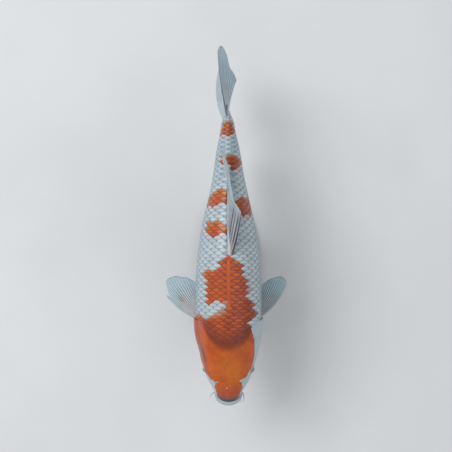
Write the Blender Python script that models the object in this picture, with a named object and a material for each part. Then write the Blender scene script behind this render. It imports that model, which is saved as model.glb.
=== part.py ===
"""A koi carp, life size, swimming level on a plain display stand.

Metres, +Z up. The fish looks along -Y, its midline lies on X = 0, and the origin is the centre of the
underside of the stand's base. Places on the fish are (x, s, z): x to the fish's left, s the distance
behind the front of the lips, and z the height above the body's axis.
"""

import math

import bmesh
import bpy
import numpy as np
from mathutils import Matrix, Vector

# Driving dimensions
STANDARD_LENGTH = 0.447  # lips to the root of the tail fin
AXIS_HEIGHT = 0.160  # body's axis above the floor
BALANCE_POINT = 0.200  # s of the point that stands over the origin
GAP = 0.0003  # between neighbouring pieces

# The body at stations along it, as shares of the standard length: distance behind the lips, half width,
# height above the axis, depth below it, and the level of the widest line.
STATIONS = (
    (0.011, 0.0000, -0.0110, 0.0110, -0.011),
    (0.020, 0.0260, 0.0100, 0.0300, -0.010),
    (0.034, 0.0400, 0.0260, 0.0410, -0.009),
    (0.058, 0.0524, 0.0450, 0.0550, -0.008),
    (0.083, 0.0675, 0.0635, 0.0680, -0.009),
    (0.132, 0.0875, 0.0900, 0.0880, -0.012),
    (0.179, 0.0990, 0.1100, 0.1050, -0.014),
    (0.228, 0.1085, 0.1270, 0.1200, -0.014),
    (0.277, 0.1130, 0.1415, 0.1320, -0.012),
    (0.327, 0.1145, 0.1530, 0.1425, -0.010),
    (0.423, 0.1143, 0.1670, 0.1520, -0.006),
    (0.519, 0.1076, 0.1700, 0.1520, -0.002),
    (0.617, 0.0942, 0.1570, 0.1410, 0.000),
    (0.714, 0.0723, 0.1310, 0.1186, 0.000),
    (0.790, 0.0562, 0.1060, 0.0950, 0.000),
    (0.888, 0.0409, 0.0780, 0.0705, 0.000),
    (0.958, 0.0265, 0.0650, 0.0615, 0.000),
    (0.995, 0.0195, 0.0640, 0.0610, 0.000),
    (1.022, 0.0055, 0.0600, 0.0570, 0.000),
)
RINGS = 46
RING_POINTS = 32
ROUNDNESS = 2.2  # 2 makes the cross-section an ellipse, more makes it boxier

# The tail stalk swings a little to the fish's right, from this share of the length on.
SWAY = -0.0015
SWAY_FROM = 0.72

# Gill covers, seen from the side: they end in an ellipse behind the head.
GILL_CENTRE = 0.080
GILL_LENGTH = 0.057
GILL_HEIGHT = 0.064
GILL_FRONT = 0.090
GILL_TOP = 0.031
GILL_BOTTOM = -0.047
GILL_THICKNESS = 0.0045
GILL_RELIEF = 0.0032
STALK_START = 0.392

# Mouth: the lips follow an ellipse in plan, which drops towards the corners.
MOUTH_HALF_WIDTH = 0.0205
MOUTH_DEPTH = 0.0175
MOUTH_FRONT = 0.0035
MOUTH_CORNER = 82  # degrees round from the front
LIP_CLEARANCE = 0.0004
UPPER_LIP_RADIUS = 0.0034
LOWER_LIP_RADIUS = 0.0030
MOUTH_LEVEL = -0.0055
MOUTH_DROP = 0.0060
JAW_LENGTH = 0.034

EYE_RADIUS = 0.0070
EYE_PLACE = (0.0330, 0.0590, 0.0105)
NOSTRIL_RADIUS = 0.0034
NOSTRIL_PLACE = (0.0190, 0.0385, 0.0225)

FIN_ROOT_THICKNESS = 0.0028
FIN_TIP_THICKNESS = 0.0009
FIN_ACROSS = 14
FIN_ALONG = 7

BASE_HALF_WIDTH = 0.050
BASE_HALF_LENGTH = 0.130
BASE_THICKNESS = 0.012
BASE_BEVEL = 0.002
ROD_RADIUS = 0.005
ROD_PLACES = {"stand_rod_front": 0.150, "stand_rod_rear": 0.262}

WHITE = (0.72, 0.74, 0.73)
ORANGE = (0.62, 0.12, 0.03)
MEMBRANE = (0.62, 0.69, 0.70)
LIP = (0.74, 0.74, 0.72)
EYE = (0.02, 0.02, 0.025)
STAND = (0.055, 0.058, 0.062)


def clear_scene():
    for old in list(bpy.data.objects):
        bpy.data.objects.remove(old)


def smooth_through(places, values, at):
    """A smooth curve through (place, value) points, read at these places."""
    places, values = np.asarray(places, float), np.asarray(values, float)
    slopes = np.gradient(values, places, axis=0)
    k = np.clip(np.searchsorted(places, at, side="right") - 1, 0, len(places) - 2)
    step = places[k + 1] - places[k]
    t = (at - places[k]) / step
    return (
        (2 * t**3 - 3 * t**2 + 1) * values[k]
        + (t**3 - 2 * t**2 + t) * step * slopes[k]
        + (3 * t**2 - 2 * t**3) * values[k + 1]
        + (t**3 - t**2) * step * slopes[k + 1]
    )


def smooth_step(low, high, value):
    t = min(1.0, max(0.0, (value - low) / (high - low)))
    return t * t * (3 - 2 * t)


def at(x, s, z):
    """A place on the fish as a point in the model's frame."""
    return Vector((x, s - BALANCE_POINT, z + AXIS_HEIGHT))


def body_sizes(share):
    """Half width, height, depth and widest level there. The square root makes the snout blunt and round."""
    start = STATIONS[0][0]
    places = [math.sqrt(row[0] - start) for row in STATIONS]
    reach = math.sqrt(max(0.0, share - start))
    return [
        STANDARD_LENGTH * smooth_through(places, [row[column] for row in STATIONS], reach)
        for column in (1, 2, 3, 4)
    ]


def sway(share):
    return SWAY * (max(0.0, share - SWAY_FROM) / (1 - SWAY_FROM)) ** 2


def rounded(value):
    return math.copysign(abs(value) ** (2 / ROUNDNESS), value)


def body_ring(share, relief=0.0):
    """One cross-section of the body, from the back round by the fish's left. relief lifts the gill covers."""
    half_width, height, depth, level = body_sizes(share)
    s = share * STANDARD_LENGTH
    ring = []
    for k in range(RING_POINTS):
        angle = 2 * math.pi * k / RING_POINTS
        side, up = rounded(math.sin(angle)), rounded(math.cos(angle))
        z = level + up * (height - level if up > 0 else depth + level)
        lift = relief * abs(side) * smooth_step(GILL_CENTRE, GILL_CENTRE + 0.7 * GILL_LENGTH, s)
        lift *= 1 - smooth_step(0.4 * GILL_TOP, GILL_TOP, z)
        ring.append(at(half_width * side + math.copysign(lift, side) + sway(share), s, z))
    return ring


def body_shares():
    start, end = STATIONS[0][0], STATIONS[-1][0]
    reach = np.linspace(0.03, math.sqrt(end - start), RINGS)
    return [start + q * q for q in reach]


def link(name, mesh, material=None):
    obj = bpy.data.objects.new(name, mesh)
    bpy.context.scene.collection.objects.link(obj)
    if material is not None:
        mesh.materials.append(material)
    return obj


def finish_mesh(name, work, smooth=True):
    """The bmesh as a named object, with its faces pointing out."""
    bmesh.ops.recalc_face_normals(work, faces=work.faces)
    mesh = bpy.data.meshes.new(name)
    work.to_mesh(mesh)
    work.free()
    if smooth:
        mesh.shade_smooth()
    return link(name, mesh)


def loft(name, rings, swell=0.0):
    """A closed skin through rings of points, grown outwards by swell."""
    work = bmesh.new()
    loops = [[work.verts.new(point) for point in ring] for ring in rings]
    for first, second in zip(loops, loops[1:]):
        for k in range(len(first)):
            after = (k + 1) % len(first)
            work.faces.new((first[k], first[after], second[after], second[k]))
    work.faces.new(loops[0][::-1])
    work.faces.new(loops[-1])
    bmesh.ops.recalc_face_normals(work, faces=work.faces)
    if swell:
        work.normal_update()
        moves = [vert.normal * swell for vert in work.verts]
        for vert, move in zip(work.verts, moves):
            vert.co += move
    return finish_mesh(name, work)


def body(name, relief=0.0, swell=0.0):
    return loft(name, [body_ring(share, relief) for share in body_shares()], swell)


def side_prism(name, outline, low, high):
    """A prism with this (s, z) outline, from x = low to x = high."""
    work = bmesh.new()
    near = [work.verts.new(at(low, s, z)) for s, z in outline]
    far = [work.verts.new(at(high, s, z)) for s, z in outline]
    for k in range(len(outline)):
        after = (k + 1) % len(outline)
        work.faces.new((near[k], near[after], far[after], far[k]))
    work.faces.new(near[::-1])
    work.faces.new(far)
    return finish_mesh(name, work, smooth=False)


def head_outline(grow):
    """The head seen from the side: everything in front of the gill openings."""
    front, tall = -0.02, 0.12
    arc = [math.radians(a) for a in range(90, -91, -12)]
    ellipse = [
        (
            GILL_CENTRE + (GILL_LENGTH + grow) * math.cos(a),
            (GILL_HEIGHT + grow) * math.sin(a) * (1.4 if abs(math.sin(a)) > 0.99 else 1),
        )
        for a in arc
    ]
    return [(front, tall), (GILL_CENTRE, tall), *ellipse, (GILL_CENTRE, -tall), (front, -tall)]


def gill_outline(grow):
    """One gill cover seen from the side. Its rear edge is the head's own edge, less a hair."""
    edge = []
    for a in range(28, -47, -6):
        angle = math.radians(a)
        edge.append(
            (
                GILL_CENTRE + (GILL_LENGTH + 3 * grow - GAP) * math.cos(angle),
                (GILL_HEIGHT + 3 * grow - GAP) * math.sin(angle),
            )
        )
    front = [
        (GILL_FRONT + 0.012 - grow, GILL_BOTTOM - grow),
        (GILL_FRONT - grow, GILL_BOTTOM / 2),
        (GILL_FRONT - 0.004 - grow, 0.0),
        (GILL_FRONT + 0.002 - grow, GILL_TOP - 0.008),
        (GILL_FRONT + 0.012 - grow, GILL_TOP + grow),
    ]
    return [*edge, *front]


def combine(target, other, operation):
    """target united with, cut by, or cut down to other, which is then removed."""
    modifier = target.modifiers.new("combine", "BOOLEAN")
    modifier.operation = operation
    modifier.object = other
    bpy.context.view_layer.objects.active = target
    bpy.ops.object.modifier_apply(modifier=modifier.name)
    bpy.data.objects.remove(other)


def material(name, colour, roughness, coat=0.0):
    made = bpy.data.materials.new(name)
    made.use_nodes = True
    shader = made.node_tree.nodes["Principled BSDF"]
    shader.inputs["Base Color"].default_value = (*colour, 1)
    shader.inputs["Roughness"].default_value = roughness
    shader.inputs["Coat Weight"].default_value = coat
    made.diffuse_color = (*colour, 1)
    return made


def tube(name, points, radii, sides=10):
    """A closed tube along points, with a radius at each."""
    points = [Vector(p) for p in points]
    rings = []
    for k, point in enumerate(points):
        along = (points[min(k + 1, len(points) - 1)] - points[max(k - 1, 0)]).normalized()
        across = along.orthogonal().normalized() if not rings else (across - along * across.dot(along)).normalized()
        other = along.cross(across)
        rings.append(
            [
                point + radii[k] * (across * math.cos(a) + other * math.sin(a))
                for a in (2 * math.pi * j / sides for j in range(sides))
            ]
        )
    return loft(name, rings)


def mouth_line(s):
    """Height of the line between the lips."""
    return MOUTH_LEVEL - MOUTH_DROP * (s - MOUTH_FRONT) / MOUTH_DEPTH


def lip(name, above, radius, half_width=MOUTH_HALF_WIDTH, setback=0.0, corner=MOUTH_CORNER):
    """One lip: a tube round the front of the mouth, thinner at the corners. above is its height over the
    line between the lips."""
    steps = 13
    points, radii = [], []
    for k in range(steps):
        angle = math.radians(corner * (2 * k / (steps - 1) - 1))
        s = MOUTH_FRONT + setback + MOUTH_DEPTH * (1 - math.cos(angle))
        points.append(at(half_width * math.sin(angle), s, mouth_line(s) + above))
        radii.append(radius * (1 - 0.45 * abs(math.sin(angle)) ** 3))
    return tube(name, points, radii)


def jaw_outline(grow):
    """The lower jaw seen from the side, below the line of the mouth."""
    return [
        (-0.02, mouth_line(-0.02) + grow),
        (JAW_LENGTH + grow, mouth_line(JAW_LENGTH) + grow),
        (JAW_LENGTH + 0.004 + grow, -0.06),
        (-0.02, -0.06),
    ]


def eye_place(side):
    x, s, z = EYE_PLACE
    return at(side * x, s, z)


def ball(name, centre, radius, squash=(1, 1, 1), segments=20):
    work = bmesh.new()
    bmesh.ops.create_uvsphere(work, u_segments=segments, v_segments=segments // 2, radius=radius)
    # The poles lie along X, so that they don't show on the fish's side.
    turn = Matrix.Rotation(math.pi / 2, 4, "Y")
    scale = Matrix.Diagonal((*squash, 1))
    bmesh.ops.transform(work, matrix=Matrix.Translation(centre) @ scale @ turn, verts=work.verts)
    return finish_mesh(name, work)


def make_head():
    """The head without its gill covers: snout, upper lip, nostrils and eye sockets."""
    head = body("head")
    combine(head, side_prism("front", head_outline(0.0), -0.1, 0.1), "INTERSECT")
    for side, outer in ((1, 0.1), (-1, -0.1)):
        low, high = sorted((side * 0.012, outer))
        pocket = side_prism("pocket", gill_outline(GAP), low, high)
        combine(pocket, body("core", swell=-GILL_THICKNESS - GAP), "DIFFERENCE")
        combine(head, pocket, "DIFFERENCE")
    combine(head, side_prism("below_mouth", jaw_outline(GAP / 2), -0.1, 0.1), "DIFFERENCE")
    combine(head, lip("upper_lip", UPPER_LIP_RADIUS + LIP_CLEARANCE, UPPER_LIP_RADIUS), "UNION")
    for side in (1, -1):
        x, s, z = NOSTRIL_PLACE
        rim = ball("nostril", at(side * x, s, z), NOSTRIL_RADIUS, squash=(1, 1.2, 0.8), segments=12)
        combine(head, rim, "UNION")
        combine(head, ball("socket", eye_place(side), EYE_RADIUS + GAP), "DIFFERENCE")
    return head


def make_jaw():
    jaw = body("lower_jaw")
    combine(jaw, side_prism("jaw_zone", jaw_outline(-GAP / 2), -0.1, 0.1), "INTERSECT")
    drop = -LOWER_LIP_RADIUS - LIP_CLEARANCE
    lower = lip("lower_lip", drop, LOWER_LIP_RADIUS, half_width=0.0178, setback=0.0012, corner=70)
    combine(jaw, lower, "UNION")
    return jaw


def make_gill_cover(name, side):
    cover = body(name, relief=GILL_RELIEF)
    low, high = sorted((side * 0.012, side * 0.1))
    combine(cover, side_prism("cover_zone", gill_outline(0.0), low, high), "INTERSECT")
    combine(cover, body("core", swell=-GILL_THICKNESS), "DIFFERENCE")
    return cover


def make_trunk_and_stalk():
    trunk = body("trunk")
    combine(trunk, side_prism("front", head_outline(GAP), -0.1, 0.1), "DIFFERENCE")
    ahead = [(-0.02, 0.12), (STALK_START - GAP / 2, 0.12), (STALK_START - GAP / 2, -0.12), (-0.02, -0.12)]
    combine(trunk, side_prism("ahead", ahead, -0.1, 0.1), "INTERSECT")
    stalk = body("tail_stalk")
    behind = [(s + (STALK_START + 0.5 if s < 0 else GAP), z) for s, z in ahead]
    combine(stalk, side_prism("behind", behind, -0.1, 0.1), "INTERSECT")
    return trunk, stalk


def fin(name, rays, first=0.0, last=1.0, across=FIN_ACROSS):
    """A fin as a thin solid. rays holds (place across, root, middle, tip) with each point as (x, s, z) in mm.
    first and last say which share of it to make, from its leading edge to its trailing edge."""
    places = [row[0] for row in rays]
    roots, middles, tips = (np.array([row[k] for row in rays]) / 1000 for k in (1, 2, 3))
    grid = np.empty((across + 1, FIN_ALONG + 1, 3))
    for i in range(across + 1):
        u = first + (last - first) * i / across
        root, middle, tip = (smooth_through(places, points, u) for points in (roots, middles, tips))
        bend = 2 * middle - (root + tip) / 2
        for j in range(FIN_ALONG + 1):
            v = j / FIN_ALONG
            grid[i, j] = (1 - v) ** 2 * root + 2 * v * (1 - v) * bend + v * v * tip
    normals = np.cross(np.gradient(grid, axis=0), np.gradient(grid, axis=1))
    normals /= np.linalg.norm(normals, axis=2, keepdims=True)
    work = bmesh.new()
    walls = []
    for sign in (1, -1):
        wall = []
        for i in range(across + 1):
            row = []
            for j in range(FIN_ALONG + 1):
                share = j / FIN_ALONG
                half = 0.5 * (FIN_ROOT_THICKNESS * (1 - share) ** 2 + FIN_TIP_THICKNESS * (1 - (1 - share) ** 2))
                row.append(work.verts.new(at(*(grid[i, j] + sign * half * normals[i, j]))))
            wall.append(row)
        walls.append(wall)
    front, back = walls
    for i in range(across):
        for j in range(FIN_ALONG):
            for wall in walls:
                work.faces.new((wall[i][j], wall[i + 1][j], wall[i + 1][j + 1], wall[i][j + 1]))
    for j in range(FIN_ALONG):
        for i in (0, across):
            work.faces.new((front[i][j], front[i][j + 1], back[i][j + 1], back[i][j]))
    for i in range(across):
        for j in (0, FIN_ALONG):
            work.faces.new((front[i][j], front[i + 1][j], back[i + 1][j], back[i][j]))
    return finish_mesh(name, work)


def dorsal_rays():
    """Half folded: the front leans to the fish's left and the rear to its right."""
    rays = []
    for place, root_s, tip in (
        (0.00, 231, (18.8, 299.5, 113)),
        (0.10, 243, (14.5, 306, 113)),
        (0.22, 258, (8.0, 316, 109)),
        (0.40, 279, (4.5, 334, 101)),
        (0.60, 303, (-0.5, 354, 88)),
        (0.80, 327, (-6.5, 376, 73)),
        (1.00, 350, (-12.7, 401, 55)),
    ):
        height = 1000 * body_sizes(root_s / 1000 / STANDARD_LENGTH)[1]
        root = (tip[0] * 0.05, root_s, height - 4)
        lean = 0.42 if place < 0.3 else 0.30
        middle = (tip[0] * lean, (root_s + tip[1]) / 2 - 3, (root[2] + tip[2]) / 2 + 3)
        rays.append((place, root, middle, tip))
    return rays


def anal_rays():
    return [
        (0.0, (0, 345, -40), (0.5, 361, -70), (2.0, 382, -92)),
        (0.3, (0, 355, -38), (0.5, 373, -65), (2.5, 393, -86)),
        (0.7, (0, 368, -34), (0.5, 385, -55), (2.5, 402, -72)),
        (1.0, (0, 379, -32), (0.5, 392, -45), (2.0, 405, -58)),
    ]


def tail_rays():
    """Both lobes curl to the fish's right and the short middle rays bow to its left. The outer rays start
    ahead of the stalk's end, on its back and belly."""
    return [
        (0.00, (-1.0, 437, 25.5), (-12.5, 502, 45.5), (-16.0, 545, 64.0)),
        (0.08, (-1.2, 441, 22.0), (-11.0, 502, 41.0), (-11.0, 550, 61.5)),
        (0.20, (-1.5, 447, 16.0), (-8.0, 498, 31.5), (-2.5, 540, 50.0)),
        (0.34, (-1.5, 452, 8.5), (-3.5, 488, 18.0), (2.5, 521, 31.0)),
        (0.50, (-1.5, 453, 0.0), (2.5, 481, 0.5), (12.0, 507, 2.0)),
        (0.66, (-2.0, 452, -8.5), (-4.5, 486, -17.0), (4.5, 518, -29.0)),
        (0.80, (-2.5, 447, -16.0), (-12.0, 491, -30.0), (-5.0, 533, -47.0)),
        (0.92, (-2.5, 441, -22.0), (-16.5, 489, -38.5), (-10.5, 540, -57.5)),
        (1.00, (-2.5, 437, -25.0), (-17.5, 488, -42.5), (-14.5, 534, -61.0)),
    ]


def fan_rays(side, root, root_step, lengths, angles, droop, back_drop, bow):
    """A paired fin whose rays fan out in one plane, from the first angle to the last, both in degrees from
    straight out to straight back. bow is how far the rays curve forwards, as a share of their length."""
    rays = []
    down = math.radians(droop)
    for k, length in enumerate(lengths):
        place = k / (len(lengths) - 1)
        angle = math.radians(angles[0] + (angles[1] - angles[0]) * (0.75 * place + 0.25 * place**2))
        start = np.array(root, float) + np.array(root_step, float) * place
        out = np.array([math.cos(down), 0.0, -math.sin(down)])
        back = np.array([0.0, 1.0, -back_drop])
        tip = start + length * (out * math.cos(angle) + back * math.sin(angle))
        forwards = out * math.sin(angle) - back * math.cos(angle) + np.array([0.0, 0.0, 0.4])
        middle = (start + tip) / 2 + length * bow * (1 - 0.6 * place) * forwards
        rays.append((place, *(tuple(p * (side, 1, 1)) for p in (start, middle, tip))))
    return rays


# Ray lengths and angles from the leading edge to the trailing one. The two pectorals are held differently.
PECTORAL_RIGHT = {"lengths": (73, 81, 84, 82, 77, 69, 60), "angles": (33, 72), "bow": 0.075}
PECTORAL_LEFT = {"lengths": (82, 84, 84, 80, 72, 63, 53), "angles": (47, 70), "bow": 0.10}
PELVIC = {"lengths": (52, 60, 61, 57, 50, 38), "angles": (52, 80), "bow": 0.03}


def pectoral_rays(side, shape):
    return fan_rays(side, (37.5, 127, -37), (-1.5, 10, -11), droop=9, back_drop=0.05, **shape)


def pelvic_rays(side):
    return fan_rays(side, (17, 221, -58), (-6, 9, -3), droop=40, back_drop=0.18, **PELVIC)


def make_fins():
    """Every fin, ended just off the body's surface."""
    fins = {
        "dorsal_fin": fin("dorsal_fin", dorsal_rays()),
        "anal_fin": fin("anal_fin", anal_rays(), across=9),
        "tail_fin_upper": fin("tail_fin_upper", tail_rays(), last=0.497, across=10),
        "tail_fin_lower": fin("tail_fin_lower", tail_rays(), first=0.503, across=10),
        "pectoral_fin_right": fin("pectoral_fin_right", pectoral_rays(-1, PECTORAL_RIGHT), across=12),
        "pectoral_fin_left": fin("pectoral_fin_left", pectoral_rays(1, PECTORAL_LEFT), across=12),
        "pelvic_fin_right": fin("pelvic_fin_right", pelvic_rays(-1), across=9),
        "pelvic_fin_left": fin("pelvic_fin_left", pelvic_rays(1), across=9),
    }
    for made in fins.values():
        combine(made, body("near_body", swell=GAP), "DIFFERENCE")
    return fins


def make_barbel(name, root, middle, tip, radius):
    """A feeler beside the mouth, from inside the lip to its thin tip."""
    points = []
    steps = 6
    for k in range(steps + 1):
        t = k / steps
        bend = 2 * np.array(middle) - (np.array(root) + np.array(tip)) / 2
        place = (1 - t) ** 2 * np.array(root) + 2 * t * (1 - t) * bend + t * t * np.array(tip)
        points.append(at(*(place / 1000)))
    radii = [radius + (0.00035 - radius) * (k / steps) ** 0.8 for k in range(steps + 1)]
    return tube(name, points, radii, sides=8)


def make_barbels(neighbours):
    """Two long feelers at the corners of the mouth and two short ones on the upper lip."""
    made = {
        "barbel_corner_right": make_barbel(
            "barbel_corner_right", (-21.5, 20, -8.0), (-26.5, 16.5, -12), (-30.0, 9.5, -21), 0.0012
        ),
        "barbel_corner_left": make_barbel(
            "barbel_corner_left", (21.0, 20, -8.0), (24.0, 13.0, -12), (22.5, 3.0, -20), 0.0012
        ),
        "barbel_lip_right": make_barbel(
            "barbel_lip_right", (-15.5, 10, -3.5), (-19.0, 7.5, -4.5), (-20.5, 5.0, -11), 0.0008
        ),
        "barbel_lip_left": make_barbel(
            "barbel_lip_left", (15.5, 10, -3.5), (18.8, 6.5, -4.5), (19.0, 3.0, -11), 0.0008
        ),
    }
    for barbel in made.values():
        for neighbour in neighbours:
            grown = neighbour.copy()
            grown.data = neighbour.data.copy()
            bpy.context.scene.collection.objects.link(grown)
            swell = grown.modifiers.new("swell", "DISPLACE")
            swell.strength = GAP
            swell.mid_level = 0
            bpy.context.view_layer.objects.active = grown
            bpy.ops.object.modifier_apply(modifier=swell.name)
            combine(barbel, grown, "DIFFERENCE")
    return made


def make_stand():
    """An oval base with a softened edge, and two rods up to the belly."""
    work = bmesh.new()
    bmesh.ops.create_circle(work, cap_ends=True, segments=48, radius=1)
    bmesh.ops.scale(work, vec=(BASE_HALF_WIDTH, BASE_HALF_LENGTH, 1), verts=work.verts)
    raised = bmesh.ops.extrude_face_region(work, geom=list(work.faces))
    top = [item for item in raised["geom"] if isinstance(item, bmesh.types.BMVert)]
    bmesh.ops.translate(work, vec=(0, 0, BASE_THICKNESS), verts=top)
    rim = [edge for edge in work.edges if all(vert.co.z > BASE_THICKNESS / 2 for vert in edge.verts)]
    bmesh.ops.bevel(work, geom=rim, offset=BASE_BEVEL, segments=2, profile=0.5, affect="EDGES")
    base = finish_mesh("stand_base", work)
    base.data.set_sharp_from_angle(angle=math.radians(40))
    rods = []
    for name, s in ROD_PLACES.items():
        work = bmesh.new()
        low = BASE_THICKNESS + GAP
        bmesh.ops.create_cone(
            work, cap_ends=True, segments=24, radius1=ROD_RADIUS, radius2=ROD_RADIUS, depth=AXIS_HEIGHT - low
        )
        bmesh.ops.translate(work, vec=(0, s - BALANCE_POINT, (AXIS_HEIGHT + low) / 2), verts=work.verts)
        rod = finish_mesh(name, work)
        combine(rod, body("near_body", swell=GAP), "DIFFERENCE")
        rod.data.set_sharp_from_angle(angle=math.radians(40))
        rods.append(rod)
    return base, rods


def paint(objects, look):
    for obj in objects:
        obj.data.materials.clear()
        obj.data.materials.append(look)


def main():
    clear_scene()
    head = make_head()
    jaw = make_jaw()
    covers = {side: make_gill_cover(name, side) for side, name in ((1, "gill_cover_left"), (-1, "gill_cover_right"))}
    eyes = [ball(name, eye_place(side), EYE_RADIUS) for side, name in ((1, "eye_left"), (-1, "eye_right"))]
    trunk, stalk = make_trunk_and_stalk()
    fins = make_fins()
    barbels = make_barbels([head, jaw])
    base, rods = make_stand()

    white = material("white_skin", WHITE, 0.38, coat=0.3)
    orange = material("orange_skin", ORANGE, 0.35, coat=0.3)
    paint([trunk, stalk, jaw, covers[1]], white)
    paint([head, covers[-1]], orange)
    paint(fins.values(), material("fin_membrane", MEMBRANE, 0.35))
    paint(barbels.values(), material("lip_skin", LIP, 0.4))
    paint(eyes, material("eye_gloss", EYE, 0.08))
    paint([base, *rods], material("stand_metal", STAND, 0.45))


main()
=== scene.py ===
"""The looks of a life-size koi carp on its display stand: skin, scales, fins, eyes, feelers and stand.

The fish is shaped in its own millimetres, as places (x, s, z): x to its left, s behind the front of its
lips and z above its axis. A place on the body's surface is also given as (walk, s), where walk is the
distance round the body from the ridge of the back, positive on the fish's left.
"""

import math
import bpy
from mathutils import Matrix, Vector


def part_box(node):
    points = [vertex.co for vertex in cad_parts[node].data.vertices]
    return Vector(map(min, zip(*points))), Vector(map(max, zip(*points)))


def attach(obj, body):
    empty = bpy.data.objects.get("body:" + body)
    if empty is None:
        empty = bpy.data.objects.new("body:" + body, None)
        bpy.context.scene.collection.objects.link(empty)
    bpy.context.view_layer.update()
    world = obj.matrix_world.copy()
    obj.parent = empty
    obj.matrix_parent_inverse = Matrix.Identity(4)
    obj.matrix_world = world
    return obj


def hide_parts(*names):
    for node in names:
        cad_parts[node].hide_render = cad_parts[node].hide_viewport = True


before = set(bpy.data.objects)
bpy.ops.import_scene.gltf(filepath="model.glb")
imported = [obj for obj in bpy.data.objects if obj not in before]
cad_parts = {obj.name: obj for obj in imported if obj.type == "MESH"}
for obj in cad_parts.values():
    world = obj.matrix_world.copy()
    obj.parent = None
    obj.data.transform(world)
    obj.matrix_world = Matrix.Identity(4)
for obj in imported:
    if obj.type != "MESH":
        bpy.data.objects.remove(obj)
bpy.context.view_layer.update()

from types import SimpleNamespace

import bpy
import numpy as np
from mathutils import Vector

# The fish's own millimetres, read from its eyes, which stand 66 mm apart and 59 mm behind the lips.
EYE_RADIUS = 7.0
EYE = np.array((33.0, 59.0, 10.5))
EYE_AXIS = np.array((0.9353, -0.3301, 0.1275))  # square to the skin there: a little forwards and up
left_eye, right_eye = (sum(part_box(name), Vector()) / 2 for name in ("eye_left", "eye_right"))
MM = (left_eye.x - right_eye.x) / (2 * EYE[0])
ORIGIN = np.array((left_eye + right_eye) / 2) - MM * EYE * (0, 1, 1)

LENGTH = 447.0  # lips to the root of the tail fin
ROUNDNESS = 2.2
COAT = 0.9  # how deep the skin lies under the scales

# The body along its length, as shares of it: place, half width, height, depth, level of the widest line.
STATIONS = np.array((
    (0.011, 0.0000, -0.0110, 0.0110, -0.011),
    (0.020, 0.0260, 0.0100, 0.0300, -0.010),
    (0.034, 0.0400, 0.0260, 0.0410, -0.009),
    (0.058, 0.0524, 0.0450, 0.0550, -0.008),
    (0.083, 0.0675, 0.0635, 0.0680, -0.009),
    (0.132, 0.0875, 0.0900, 0.0880, -0.012),
    (0.179, 0.0990, 0.1100, 0.1050, -0.014),
    (0.228, 0.1085, 0.1270, 0.1200, -0.014),
    (0.277, 0.1130, 0.1415, 0.1320, -0.012),
    (0.327, 0.1145, 0.1530, 0.1425, -0.010),
    (0.423, 0.1143, 0.1670, 0.1520, -0.006),
    (0.519, 0.1076, 0.1700, 0.1520, -0.002),
    (0.617, 0.0942, 0.1570, 0.1410, 0.000),
    (0.714, 0.0723, 0.1310, 0.1186, 0.000),
    (0.790, 0.0562, 0.1060, 0.0950, 0.000),
    (0.888, 0.0409, 0.0780, 0.0705, 0.000),
    (0.958, 0.0265, 0.0650, 0.0615, 0.000),
    (0.995, 0.0195, 0.0640, 0.0610, 0.000),
    (1.022, 0.0055, 0.0600, 0.0570, 0.000),
))
REACHES = np.sqrt(STATIONS[:, 0] - STATIONS[0, 0])
SNOUT = STATIONS[0, 0] * LENGTH
BODY_END = STATIONS[-1, 0] * LENGTH
STALK_THINS = 440.0

# Gill covers, which end in an ellipse seen from the side
GILL_CENTRE = 80.0
GILL_LENGTH = 57.0
GILL_HEIGHT = 64.0
GILL_RELIEF = 3.2
GILL_TOP = 31.0
NAPE = 92.0  # the head's bare skin ends further forward on the nape, in an arc
NAPE_SIDE = np.array((36.0, 27.0))  # how far the arc has come at one side of it

# Mouth
MOUTH_DEPTH = 17.5
MOUTH_FRONT = 3.5
UPPER_LIP = {"above": 3.5, "radius": 3.2, "half_width": 20.5, "setback": 0.0, "corner": 86}
LOWER_LIP = {"above": -2.9, "radius": 2.8, "half_width": 18.4, "setback": 1.4, "corner": 84}
MOUTH_END = 34.0  # no lip reaches further back
NOSTRIL = np.array((19.0, 38.5, 22.5))

# Orange markings, as outlines of (walk, s)
HEAD_AND_BACK = (
    (-4, 238), (8, 230), (20, 218), (32, 194), (35, 183), (32, 172), (49, 156), (56, 146), (35, 136),
    (41, 120), (47, 104), (52, 83), (48, 70), (42, 61), (27, 46), (18, 42), (26, 32), (15, 10), (0, 3),
    (-19, 10), (-25, 32), (-17, 40), (-34, 45), (-68, 69), (-88, 80), (-112, 92), (-124, 110),
    (-112, 132), (-92, 143), (-56, 143), (-33, 139), (-15, 146), (-3, 156), (-3, 163), (-16, 165),
    (-36, 162), (-39, 192), (-48, 203), (-34, 214), (-20, 211), (-13, 222), (-9, 230),
)
SPOTS = (
    ((-49, 273), (-41, 284), (-21, 288), (-5, 283), (-5, 272), (-18, 261), (-35, 262)),
    ((8, 309), (15, 320), (37, 321), (60, 319), (71, 312), (66, 301), (46, 294), (24, 291), (11, 298)),
    ((-66, 320), (-33, 330), (-16, 335), (-4, 332), (-4, 319), (-17, 311), (-38, 306), (-58, 310)),
    ((-14, 377), (-6, 389), (11, 389), (30, 376), (27, 365), (7, 366), (-4, 372)),
    ((-26, 425), (-8, 437), (0, 439), (12, 435), (20, 426), (7, 417), (-4, 416), (-18, 419)),
)

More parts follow.
